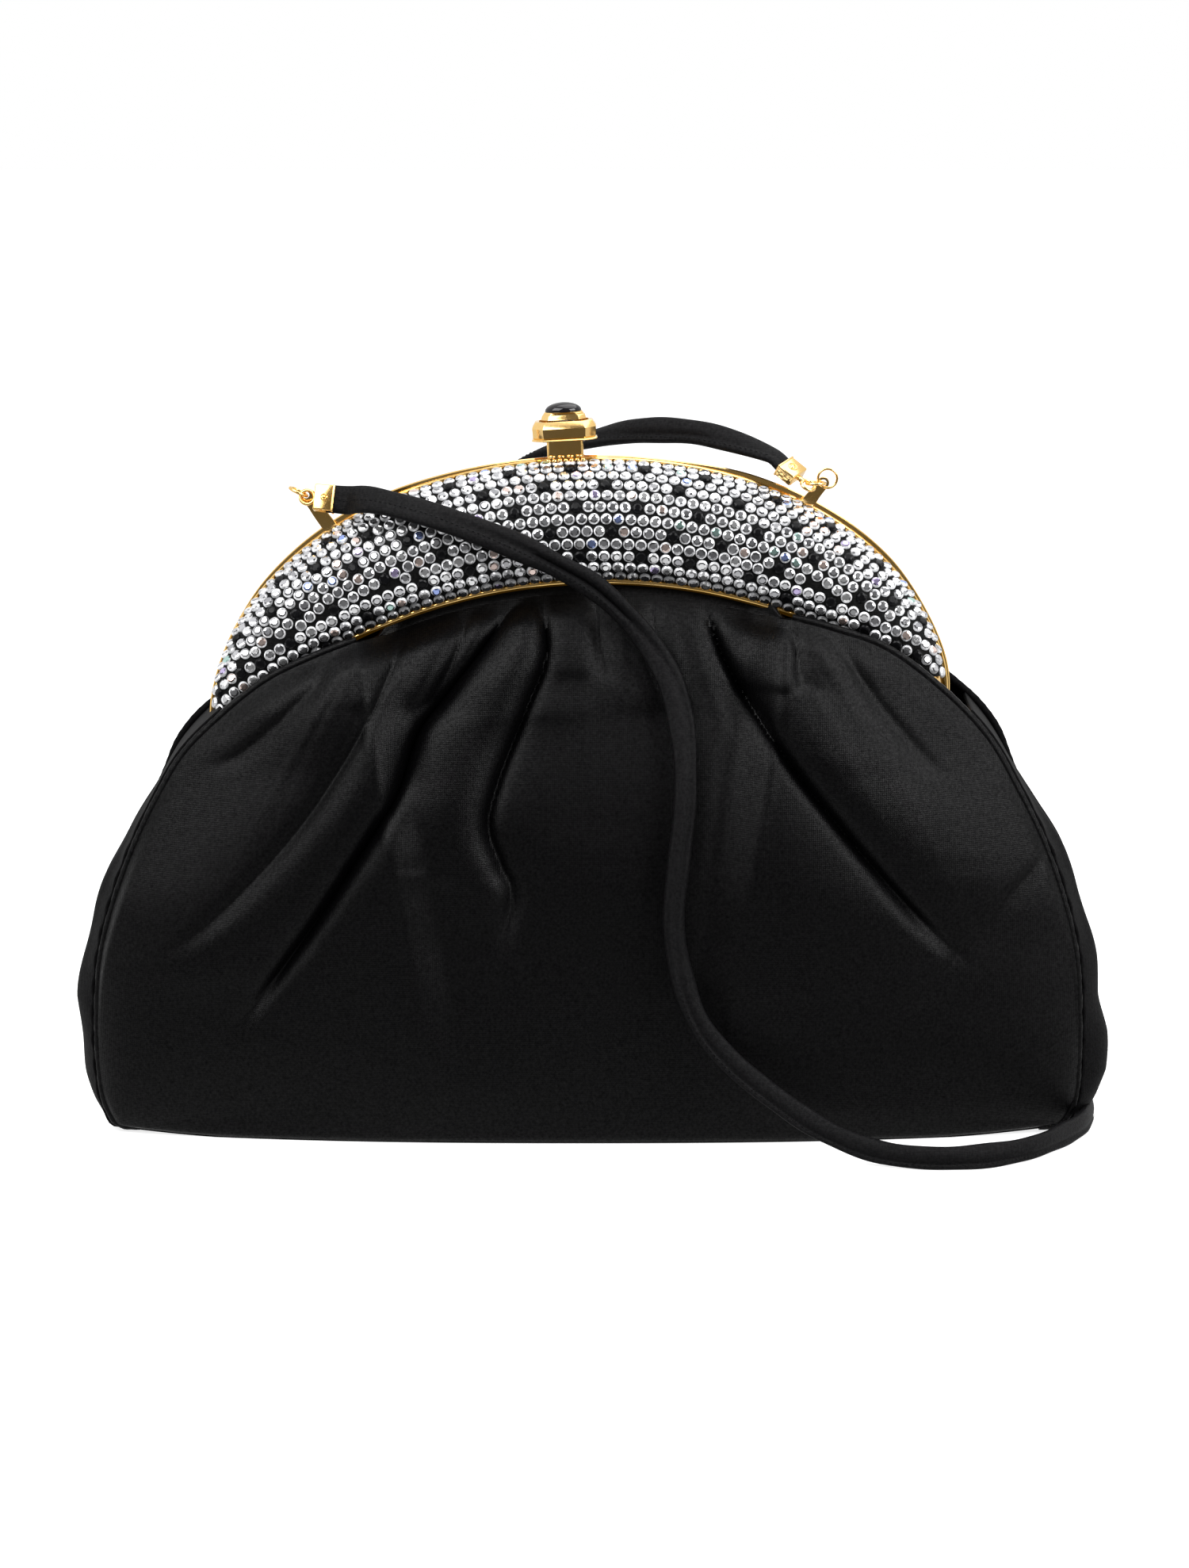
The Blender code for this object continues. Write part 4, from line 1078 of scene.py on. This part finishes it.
def strap(cloth):
    """A folded satin tape, sewn along one side: two soft rolls with a groove where it is tight."""
    centres, tangents, faces, widths = strap_frame()
    along = distances_along(centres)
    total = along[-1]
    half_width, half_thick, groove, centre_line = (
        np.interp(along, [d if d >= 0 else total + d for d in places] + [total], values)
        for places, values in STRAP_SECTION
    )
    rng = random.Random(5)
    waves = [(rng.uniform(0.12, 0.5), rng.uniform(0, 6.3), rng.uniform(0.02, 0.06)) for _ in range(8)]
    rings = []
    for k in range(len(centres)):
        ripple = sum(a * math.sin(f * along[k] + s) for f, s, a in waves)
        ring = []
        for turn in turns(STRAP_SIDES):
            cosine, sine = math.cos(turn), math.sin(turn)
            x = math.copysign(abs(cosine) ** 0.8, cosine)
            y = math.copysign(abs(sine) ** 0.75, sine)
            share, reach = (1.0, 0.22) if y > 0 else (0.25, 0.3)
            dip = share * groove[k] * math.exp(-(((x - centre_line[k]) / reach) ** 2))
            height = y * half_thick[k] * (1 - dip) + 0.5 * ripple * x
            ring.append(centres[k] + widths[k] * x * (half_width[k] + ripple) + faces[k] * height)
        rings.append(ring)
    rings.insert(0, [p - tangents[0] * STRAP_END_HIDDEN for p in rings[0]])
    rings.append([p + tangents[-1] * STRAP_END_HIDDEN for p in rings[-1]])
    parts = Parts()
    parts.loft(rings)
    piece = parts.piece("strap_cloth", cloth, 75)

    stitches = Parts()
    place = 2.0
    while place < total - 2:
        k = int(np.interp(place, along, np.arange(len(along))))
        line = 0.62 if place > 70 else 0.12 + 0.3 * place / 70
        rise = half_thick[k] * (1 - line**2) ** 0.45 + 0.02
        tangent = unit(centres[min(k + 1, len(centres) - 1)] - centres[max(k - 1, 0)])
        middle = centres[k] + widths[k] * line * half_width[k] + faces[k] * rise
        section = [widths[k] * math.cos(a) + faces[k] * math.sin(a) * 0.8 for a in turns(6)]
        stitches.loft([[middle + tangent * t + way * r for way in section] for t, r in STITCH_SHAPE])
        place += STITCH_PITCH
    sewing = stitches.piece("strap_stitching", cloth, 60)
    dress(piece, "front_half", "black_satin", "strap")
    dress(sewing, "front_half", "black_satin")
    return piece, sewing, centres, total


def rounded_box(size, centre, edge, matrix):
    """Points and faces of a box with rounded edges."""
    work = bmesh.new()
    bmesh.ops.create_cube(work, size=1.0)
    bmesh.ops.scale(work, vec=size, verts=work.verts)
    bmesh.ops.bevel(work, geom=list(work.edges), offset=edge, segments=3, profile=0.5, affect="EDGES")
    bmesh.ops.translate(work, vec=centre, verts=work.verts)
    points = [matrix @ v.co for v in work.verts]
    work.verts.index_update()
    faces = [tuple(v.index for v in f.verts) for f in work.faces]
    work.free()
    return points, faces


def end_cap(side, eye, axis, width, stub, dimple, gold):
    """A box cap crimped over the strap's end, with a rivet, a stub and an eye ring."""
    place = axes_at(eye, axis, width)
    length, thick, wide = CAP_SIZE
    back = EYE_RADIUS + stub
    outward = place.to_3x3() @ Vector((0, -1, 0))
    front = -1 if outward.y < outward.z else 1
    parts = Parts()
    parts.add(*rounded_box((length, thick, wide), (back + length / 2, 0, 0), 0.28, place))
    mouth = rounded_box((0.5, thick + 0.24, wide + 0.24), (back + length - 0.25, 0, 0), 0.2, place)
    parts.add(*mouth)
    face = place @ axes_at((back + length * 0.5, front * thick / 2, 0), (1, 0, 0), (0, front, 0))
    turned = face @ Matrix.Rotation(math.pi / 2, 4, "X")
    parts.add(*torus_points(dimple, 0.16, 28, 8, turned))
    parts.loft([moved(ring, face) for ring in dome_rings(dimple * 0.6, 0.3, 5, 18)])
    parts.add(*torus_points(EYE_RADIUS, EYE_WIRE, 40, 12, place))
    if stub:
        parts.add(*rounded_box((stub + 0.8, 0.9, 1.1), (back - stub / 2, 0, 0), 0.25, place))
    piece = parts.piece(f"end_cap_{side}_looks", gold, 38)
    dress(piece, "front_half", "polished_gold", f"end_cap_{side}", f"cap_rivet_{side}")
    return piece


LINK_TORUS = (1.95, 0.34, 48, 12)
JUMP_RING_TORUS = (2.0, 0.26, 56, 12)
# The jump ring turns about this point of the right lug, and its middle hangs from there at an angle.
JUMP_RING_PIVOT = (50.45, -2.0, 137.2)
JUMP_RING_HANG = 1.15
JUMP_RING_REST_DEG = 61.0
LUG_ANGLE_DEG = 50.3
LUG_HOLES = {"left": (-58.3, 134.68), "right": (50.15, 137.2)}
LUG_HEAD = 1.25
LUG_BORE = 0.72
LUG_EDGE = 0.12


def rings_and_lugs(gold):
    for side, centre, run in (("left", LEFT_LINK, LEFT_LINK_RUN), ("right", RIGHT_LINK, RIGHT_LINK_RUN)):
        parts = Parts()
        parts.add(*torus_points(*LINK_TORUS, axes_at(centre, run, (0, 1, 0))))
        dress(parts.piece(f"link_{side}_looks", gold, 60), "front_half", "polished_gold", f"link_{side}")

    parts = Parts()
    rest = math.radians(JUMP_RING_REST_DEG)
    hang = Vector((math.cos(rest), 0, math.sin(rest))) * JUMP_RING_HANG
    parts.add(*torus_points(*JUMP_RING_TORUS, Matrix.Translation(Vector(JUMP_RING_PIVOT) + hang)))
    dress(parts.piece("jump_ring_looks", gold, 60), "jump_ring", "polished_gold", "jump_ring")

    for side, turn in (("left", -1), ("right", 1)):
        dress(lug(side, turn, gold), "front_half", "polished_gold", f"lug_{side}")


def lug(side, turn, gold):
    """A flat eye on the outer rim with a flared foot."""
    low, high = (Vector(c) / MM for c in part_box(f"lug_{side}"))
    outer, _ = arch_edges(math.radians(90 - turn * (90 - LUG_ANGLE_DEG)))
    foot = LEAN @ Vector((outer[0], 0, outer[1] + 0.6))
    hole = LUG_HOLES[side]
    up = Vector((hole[0] - foot.x, 0, hole[1] - foot.z))
    length = up.length
    up.normalize()
    across = Vector((up.z, 0, -up.x))
    outline, inside = [], []
    for a in np.linspace(-180, 180, 48, endpoint=False):
        cosine, sine = math.cos(math.radians(a)), math.sin(math.radians(a))
        inside.append((LUG_BORE * cosine, LUG_BORE * sine))
        if sine >= 0:
            outline.append((LUG_HEAD * cosine, LUG_HEAD * sine))
            continue
        flare = LUG_HEAD + 0.35 * max(0.0, -sine - 0.6) / 0.4
        drop = min(length, abs(sine) / max(abs(cosine), 1e-6) * LUG_HEAD * 3)
        width = math.copysign(flare, cosine) if abs(sine) < 0.97 else flare * cosine / 0.25
        outline.append((width, -drop))
    front = ((inside, 1.0, low.y), (outline, 0.94, low.y), (outline, 1.0, low.y + LUG_EDGE))
    back = ((outline, 1.0, high.y - LUG_EDGE), (outline, 0.94, high.y), (inside, 1.0, high.y))
    rings = []
    for flat, scale, y in front + back:
        spots = [across * (x * scale) + up * (z * scale) for x, z in flat]
        rings.append([(hole[0] + p.x, y, hole[1] + p.z) for p in spots])
    parts = Parts()
    parts.loft(rings + rings[:1], capped=False)
    return parts.piece(f"lug_{side}_looks", gold, 40)


# ---------------------------------------------------------------- the pouch


def follow_frame(x, y, z):
    """The cloth's upper part leans with the frame, and its lower part stands upright."""
    angle = math.radians(LEAN_DEG) * smoothstep((z - 70) / 30)
    dx, dz = x - FRAME_X, z - HINGE_Z
    shift = FRAME_X * smoothstep((z - 60) / 40)
    return (
        dx * np.cos(angle) + dz * np.sin(angle) + FRAME_X + shift,
        y,
        -dx * np.sin(angle) + dz * np.cos(angle) + HINGE_Z,
    )


def base_edge(x):
    share = abs(x) / SIDE_RUN[-1][0]
    y = -BASE_HALF_DEPTH + (BASE_HALF_DEPTH - CORNER_HALF_DEPTH) * share**2.5
    z = 1.2 + 1.6 * max(0.0, (abs(x) - 70) / (SIDE_RUN[-1][0] - 70)) ** 2
    return np.array((x, y, z))


def side_seam(side, count):
    """The side seam from the frame down to the base corner, with each point's inward direction."""
    inset = [np.interp(z, LEFT_HEIGHTS, LEFT_INSET) if side < 0 else 0.0 for _, _, z in SIDE_RUN]
    knots = [follow_frame(side * (x - i), y, z) for (x, y, z), i in zip(SIDE_RUN, inset)]
    run = smooth_run(knots, count)
    ways = np.gradient(run[:, [0, 2]], axis=0)
    inward = unit(np.column_stack([ways[:, 1], np.zeros(count), -ways[:, 0]]) * side)
    return run, inward


def panel_outline(count, inset):
    left, left_in = side_seam(-1, 90)
    right, right_in = side_seam(1, 90)
    left = [p + w * inset for p, w in zip(left, left_in) if p[2] > 6]
    right = [p + w * inset for p, w in zip(right, right_in) if p[2] > 6]
    rim = []
    for x in np.linspace(-38, 38, 13):
        z = INNER_TOP - INNER_RADIUS + math.sqrt(INNER_RADIUS**2 - x * x)
        rim.append(to_world([(x, RIM_CLOTH_Y, z - RIM_CLOTH_DROP)])[0])
    return smooth_run([tuple(p) for p in left[::-1] + rim + right], count)


# Folds of the front panel: a line of (x, z), the crease's depth and width, the swell's height and reach
# beside it, which side is steeper, and the other side's share of the swell.
FRONT_FOLDS = [
    ([(-14, 113), (-27.7, 95.3), (-34.3, 86.9), (-39.5, 73.7), (-49.1, 58.2), (-56.8, 46.4), (-64.2, 35.9),
      (-75, 20.5)], 1.7, 1.5, 2.0, 5.0, 1, 0.85),
    ([(-36, 108.5), (-41.5, 97), (-48, 84), (-57, 70), (-68, 57), (-80, 45), (-89, 38)],
     0.6, 2.0, 1.3, 6.0, 1, 0.7),
    ([(-24, 111.5), (-27, 102), (-34, 90)], 0.9, 1.2, 0.8, 3.0, 1, 0.6),
    ([(-9.5, 115), (-8, 103), (-12.5, 91), (-18, 77), (-20, 68), (-17.5, 60), (-15, 53), (-17.5, 38)],
     1.2, 1.5, 1.5, 3.0, -1, 0.6),
    ([(25.4, 111.5), (30, 100), (38.7, 87), (45.3, 77.5), (58.6, 61), (68.5, 49.5), (80, 37)],
     1.7, 1.7, 2.0, 6.0, 1, 0.35),
    ([(43.5, 108), (44.4, 101), (46.9, 94.5)], 1.0, 1.2, 0.7, 2.6, -1, 0.6),
    ([(14, 114), (15.5, 104), (18, 96), (21, 88)], 0.7, 1.3, 0.4, 2.5, -1, 0.6),
    ([(-49, 105), (-56, 96), (-66, 86), (-77, 77)], 0.5, 1.5, 0.45, 4.0, 1, 0.6),
    ([(54, 103.5), (60, 94), (68, 84), (75, 76)], 0.5, 1.5, 0.4, 4.0, -1, 0.6),
    ([(2.2, 115), (3.0, 106), (5, 96)], 0.7, 1.2, 0.5, 2.4, -1, 0.6),
    ([(96, 60), (80, 42), (66, 26)], 0.3, 3.5, 0.5, 6.0, 1, 0.6),
]
REAR_FOLDS = [
    ([(30, 111), (36, 95), (46, 76), (60, 55), (70, 38)], 1.4, 1.6, 1.7, 5.0, -1, 0.7),
    ([(12, 114), (14, 98), (22, 80), (28, 62)], 1.1, 1.6, 1.3, 4.0, -1, 0.6),
    ([(-8, 114), (-10, 98), (-6, 80), (-12, 60), (-14, 44)], 1.2, 1.7, 1.3, 3.6, 1, 0.6),
    ([(-28, 111), (-36, 92), (-50, 72), (-64, 52), (-76, 34)], 1.5, 1.5, 1.7, 5.0, 1, 0.7),
    ([(-44, 107), (-54, 92), (-66, 80)], 0.9, 1.3, 0.8, 3.5, 1, 0.6),
    ([(46, 107), (54, 94), (66, 82)], 0.9, 1.3, 0.8, 3.5, -1, 0.6),
]


def fold_relief(x, z, folds, seed):
    """How far the cloth stands out at each point: folds with a sharp valley and a soft swell beside it."""

    def beside(size, near, far):
        return (1 - np.exp(-size / near)) * np.exp(-((size / far) ** 2))

    relief = np.zeros_like(x)
    for line, depth, width, swell, spread, side, far in folds:
        run = smooth_run([(a, b, 0.0) for a, b in line], 400)[::-1, :2]
        upright = np.abs(unit(np.gradient(run, axis=0))[:, 1])
        share = np.interp(z, run[:, 1], np.linspace(1, 0, len(run)))
        signed = (x - np.interp(z, run[:, 1], run[:, 0])) * np.interp(z, run[:, 1], upright) * side
        fade = smoothstep((1 - share) / 0.2) * (0.55 + 0.45 * smoothstep(share / 0.12))
        fade = fade * np.exp(-((np.maximum(0, z - run[-1, 1]) / 4) ** 2))
        spent = smoothstep((1 - share) / np.where(signed * side < 0, 0.3, 0.6))
        grow = 1 + 1.2 * share
        size = np.sqrt(signed * signed + 0.16) - 0.4
        near_side = beside(size, width * 1.6 * grow, spread * 2.2 * grow)
        far_side = beside(size, width * 2.6 * grow, spread * 3.4 * grow)
        crease = -1.15 * depth * np.exp(-((size / (0.8 * grow)) ** 2))
        rise = np.where(signed > 0, near_side, far_side * far) * swell
        relief += (rise * 2.5 * spent + crease) * fade
    rng = random.Random(seed)
    rim = INNER_TOP - INNER_RADIUS + np.sqrt(np.maximum(INNER_RADIUS**2 - (x - FRAME_X) ** 2, 1)) + HINGE_Z
    below = np.maximum(0, rim - z)
    for _ in range(26):
        at = rng.uniform(-50, 50)
        slant = at / 60 + rng.uniform(-0.15, 0.15)
        reach, tall, thick = rng.uniform(6, 15), rng.uniform(0.3, 0.75), rng.uniform(0.8, 1.7)
        centre = at + slant * below
        relief += tall * np.exp(-(((x - centre) / thick) ** 2)) * np.exp(-below / reach)
    for _ in range(14):
        a, b = rng.uniform(0.02, 0.07), rng.uniform(0.02, 0.06)
        one, two = rng.uniform(0, 6.3), rng.uniform(0, 6.3)
        relief += 0.22 * np.sin(a * x + b * z + one) * np.sin(b * 1.3 * x - a * z + two)
    return relief


PANEL_COLUMNS = 351
PANEL_ROWS = 196
PANEL_BASE = (-98.8, 199.8)
HEM_RADII = (2.6, 0.95)
# The cloth goes on up behind the inner rim: how far back and up each further row lies.
TUCKED_ROWS = ((0.1, 1.2), (0.3, 2.6), (0.7, 4.2))


def shoulder_puff(z):
    return 2.4 * np.exp(-(((z - 87) / 12) ** 2))


def puff_out(run):
    """The rear half's shoulders stand out a little further to the sides."""
    run[:, 0] += np.sign(run[:, 0]) * shoulder_puff(run[:, 2]) * smoothstep((np.abs(run[:, 0]) - 40) / 25)


def panel_grid(folds, seed, rear=False):
    """The panel's outer surface: columns that fan out from the base to the side seams and the rim."""
    upper = panel_outline(PANEL_COLUMNS, 0.5)
    if rear:
        puff_out(upper)
    shares = np.linspace(0, 1, PANEL_COLUMNS)
    lower = np.array([base_edge(PANEL_BASE[0] + PANEL_BASE[1] * u) for u in shares])
    v = np.linspace(0, 1, PANEL_ROWS)[:, None]
    grid = lower[None] * (1 - v[..., None]) + upper[None] * v[..., None]
    swell = PANEL_BULGE * np.sin(math.pi * v) ** 0.8 * np.sin(math.pi * shares[None]) ** 0.6
    relief = fold_relief(grid[..., 0], grid[..., 2], folds, seed)
    edge = np.minimum(shares, 1 - shares)[None] * 2
    inset = smoothstep(edge / 0.06) * smoothstep((1 - v) / 0.05) * smoothstep(v / 0.1)
    crease = 0.8 * np.exp(-edge * 400 / 2.2)
    grid[..., 1] -= swell + relief * inset
    grid[..., 1] += crease
    roll = []
    for k in range(1, 6):
        phi = math.pi / 2 * k / 5
        row = grid[0].copy()
        row[:, 1] += HEM_RADII[0] * math.sin(phi)
        row[:, 2] -= HEM_RADII[1] * (1 - math.cos(phi))
        roll.append(row)
    gripped = np.maximum(smoothstep((43 - np.abs(upper[:, 0] - FRAME_X)) / 4), 0.02)[:, None]
    tuck = [grid[-1] + gripped * (0, back, rise) for back, rise in TUCKED_ROWS]
    return np.concatenate([np.array(roll[::-1]), grid, np.array(tuck)])


def sheet_piece(name, grid, cloth, thickness=0.9, flip=False):
    """A grid of points as a thin closed sheet."""
    rows, columns = grid.shape[:2]
    points = grid.reshape(-1, 3)
    faces = loft_faces(rows, columns, capped=False, closed=False)
    if flip:
        faces = [f[::-1] for f in faces]
    piece = add_piece(name, points, faces, cloth, 80, tidy=False)
    shell = piece.modifiers.new("cloth", "SOLIDIFY")
    shell.thickness = thickness * MM
    shell.offset = -1
    bpy.context.view_layer.update()
    made = bpy.data.meshes.new_from_object(piece.evaluated_get(bpy.context.evaluated_depsgraph_get()))
    piece.modifiers.clear()
    piece.data = made
    return piece


def tube_rings(run, radius, count):
    tangents = unit(np.gradient(run, axis=0))
    first = unit(np.cross(tangents, np.tile((0.0, 1.0, 0.0), (len(run), 1))))
    second = np.cross(tangents, first)
    return [
        [p + (a * math.cos(t) + b * math.sin(t)) * r for t in turns(count)]
        for p, a, b, r in zip(run, first, second, radius)
    ]


def piping(name, side, rear, cloth):
    """A thin covered cord sewn down the side seam, with the pull of its stitches."""
    run, _ = side_seam(side, 260)
    foot = tuple(run[-1])
    tail = smooth_run([foot] + [(foot[0] - side * x, y, z) for x, y, z in PIPING_TAIL], 10)[1:]
    run = np.concatenate([run, tail])
    if rear:
        run[:, 1] *= -1
        puff_out(run)
    along = distances_along(run)
    radius = PIPING_RADIUS * (1 + 0.035 * np.sin(along * 2.9) + 0.03 * np.sin(along * 0.7 + side))
    radius[:3] *= 0.8
    radius[-6:] *= np.linspace(1, 0.7, 6)
    parts = Parts()
    parts.loft(tube_rings(run, radius, 16))
    return parts.piece(name, cloth, 80)


def gusset(cloth):
    """The sides and base: soft strips that bulge out low down and pucker towards the piping."""
    left, left_in = side_seam(-1, 150)
    right, right_in = side_seam(1, 150)
    corner = SIDE_RUN[-1][0]
    base = np.array([base_edge(x) for x in np.linspace(-corner, corner, 90)[1:-1]])
    base_in = np.tile((0.0, 0.0, 1.0), (len(base), 1))
    path = np.concatenate([left, base, right[::-1]])
    inward = np.concatenate([left_in, base_in, right_in[::-1]])
    keep = path[:, 2] <= GUSSET_TOP
    path, inward = path[keep], inward[keep]
    rows = []
    for p, w in zip(path, inward):
        side_part = smoothstep((abs(p[0]) - 88) / 10)
        low = smoothstep((p[2] - 0.5) / 3)
        swell = np.interp(p[2], SWELL_HEIGHTS, LEFT_SWELL if p[0] < 0 else RIGHT_SWELL) * side_part * low
        half = -p[1] - 0.4
        puff = 1.3 * shoulder_puff(p[2]) / 2.6 * side_part
        high = side_part * smoothstep((p[2] - 14) / 40)
        line = 0.05 * math.sin(p[2] * 0.12)
        row = []
        for t in np.linspace(-1, 1, 41):
            pucker = 0.16 * side_part * math.sin(p[2] * 1.1 + 2 * t) * abs(t) ** 3
            valley = 1.7 * math.exp(-(((t - line) / 0.13) ** 2))
            tuck = high * (valley - 0.7 * math.exp(-(((abs(t) - 0.4) / 0.2) ** 2)))
            sag = 0.35 * side_part * math.sin(p[2] * 0.31 + 1.4 * abs(t) + p[0] * 0.02) * (1 - t * t)
            out = swell * (1 - abs(t) ** 2.2) + pucker + sag - tuck + puff * (0.5 + 0.5 * t) * (1 - t * t) * 2
            q = p - w * (0.5 + out)
            row.append((q[0], t * half, max(q[2], 0.05) if side_part < 0.5 else q[2]))
        rows.append(row)
    return sheet_piece("gusset_satin", np.array(rows), cloth, 0.8)


# The lining's half depth by height.
LINING_DEPTHS = ([3, 12, 30, 50, 80], [16.5, 20.0, 22.0, 21.5, 16.5])


def lining_cup(cloth):
    """The lining's cup, a little wrinkled, and its hem."""
    run = np.array(SIDE_RUN)
    heights = np.concatenate([[4.4, 4.4, 4.8, 6.0], np.linspace(9, LINING_TOP, 34)])
    shrink = np.concatenate([[60, 20, 6, 1.5], np.zeros(34)])
    rng = random.Random(8)
    waves = [(rng.randint(5, 26), rng.uniform(0, 6.3), rng.uniform(0.08, 0.3)) for _ in range(9)]
    rings = []
    for z, s in zip(heights, shrink):
        a = np.interp(z, run[::-1, 2], run[::-1, 0]) - 4.4
        b = np.interp(z, *LINING_DEPTHS) - 0.4
        ring = []
        for t in np.linspace(0, 2 * math.pi, 180, endpoint=False):
            ripple = sum(h * math.sin(n * t + f + z * 0.05) for n, f, h in waves) * smoothstep((z - 4) / 20)
            ax, bx = max(a - s - ripple, 2), max(b - s * 0.27 - ripple, 1)
            ring.append((ax * math.cos(t), bx * math.sin(t), z))
        rings.append(ring)
    outer = rings[-1]
    inner = [(outer, LINING_TOP - 0.1)] + list(zip(rings[-2:3:-1], heights[::-1][1:]))
    rings.append([(x * 0.996, y * 0.985, LINING_TOP + 0.35) for x, y, _ in outer])
    for ring, z in inner:
        rings.append([(x * 0.992, y * 0.965, z) for x, y, _ in ring])
    parts = Parts()
    parts.loft(rings)
    return parts.piece("lining_cloth_cup", cloth, 80)


# ---------------------------------------------------------------- assembly

make_camera()
make_world()
make_lamps()
make_floor()

# The gold's last colour is its painted glow, an emitted stand-in for its reflections of itself.
gold = metal("polished_gold", (0.84, 0.53, 0.17), (0.95, 0.66, 0.28), 0.14, 0.04, (0.03, 0.013, 0.0))
steel = metal("spring_steel", (0.50, 0.50, 0.51), (0.62, 0.62, 0.62), 0.3, 0.08)
black_satin = satin("black_satin", (0.0002, 0.0002, 0.0003), (0.0011, 0.001, 0.0012), 0.33, 0.105, 0.0, 0.28)
side_satin = satin("side_satin", (0.0006, 0.0006, 0.0007), (0.003, 0.0028, 0.0032), 0.62, 0.045, 0.0, 0.28)
strap_satin = satin("strap_satin", (0.0012, 0.0012, 0.0014), (0.0036, 0.0033, 0.0038), 0.55, 0.09, 0.0, 0.24)
lining_stuff = satin("lining_stuff", (0.006, 0.006, 0.0065), (0.016, 0.015, 0.017), 0.6, 0.2, 0.03, 0.4)
ground = satin("stone_ground", (0.002, 0.002, 0.002), (0.006, 0.006, 0.006), 0.6, 0.08, 0.0, 0.5)
crystal = toned("crystal", 0.07, 0.9, 0.4, 0.0)
# The crowns glow with their own tones at 0.1: painted light.
crown = toned("crystal_crown", 0.24, 0.4, 0.6, 0.1)
jet = toned("jet", 0.25, 0.0, 0.0, 0.0, 0.12)
onyx = gloss_black("onyx")
board = board_stock("board")

strap_piece, sewing, strap_line, strap_length = strap(strap_satin)
cap_left = end_cap("left", LEFT_EYE, LEFT_CAP_AXIS, LEFT_CAP_WIDTH, 0.0, 0.62, gold)
cap_right = end_cap("right", RIGHT_EYE, RIGHT_CAP_AXIS, RIGHT_CAP_WIDTH, RIGHT_STUB, 0.95, gold)
rings_and_lugs(gold)

stone_spots = stone_places()
jets = jet_places(stone_spots[0])
for word, side in (("front", 1), ("rear", -1)):
    body = f"{word}_half"
    half = frame_half(f"{word}_frame_looks", side, gold)
    under = bed(f"{word}_stone_bed", side, ground)
    clear = stones(f"{word}_crystals", stone_spots, jets, False, side, (crystal, crown))
    black = stones(f"{word}_jets", stone_spots, jets, True, side, (jet,))
    dress(half, body, "polished_gold", f"{word}_frame")
    dress(under, body, "crystal", f"{word}_crystal_bed")
    dress(clear, body, "crystal")
    dress(black, body, "onyx")
clasp(gold, onyx, steel)

# The cloth pieces on no body, with their transforms baked: the panel and piping of the rear half, and the
# gusset.
front = sheet_piece("front_panel_satin", panel_grid(FRONT_FOLDS, 3), black_satin)
dress(front, "front_half", "black_satin", "front_panel")
rear_grid = panel_grid(REAR_FOLDS, 9, rear=True) * np.array((1, -1, 1))
rear = sheet_piece("rear_panel_satin", rear_grid, black_satin, flip=True)
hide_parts("rear_panel")
sides = gusset(side_satin)
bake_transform(sides)
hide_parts("gusset")
cup = lining_cup(lining_stuff)
dress(cup, "front_half", "lining_cloth", "lining")
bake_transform(rear)
for word, side in (("left", -1), ("right", 1)):
    cord_front = piping(f"front_piping_{word}_satin", side, False, black_satin)
    dress(cord_front, "front_half", "black_satin", f"front_piping_{word}")
    cord_rear = piping(f"rear_piping_{word}_satin", side, True, side_satin)
    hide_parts(f"rear_piping_{word}")
    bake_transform(cord_rear)

CARRIED_OVER = {
    "hinge_pin_left": gold,
    "hinge_pin_right": gold,
    "button_stem": steel,
    "latch_pawl": steel,
    "catch_plate": steel,
    "front_cloth_retainer": steel,
    "rear_cloth_retainer": steel,
    "base_board": board,
}
for node, material in CARRIED_OVER.items():
    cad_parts[node].data.materials.clear()
    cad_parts[node].data.materials.append(material)
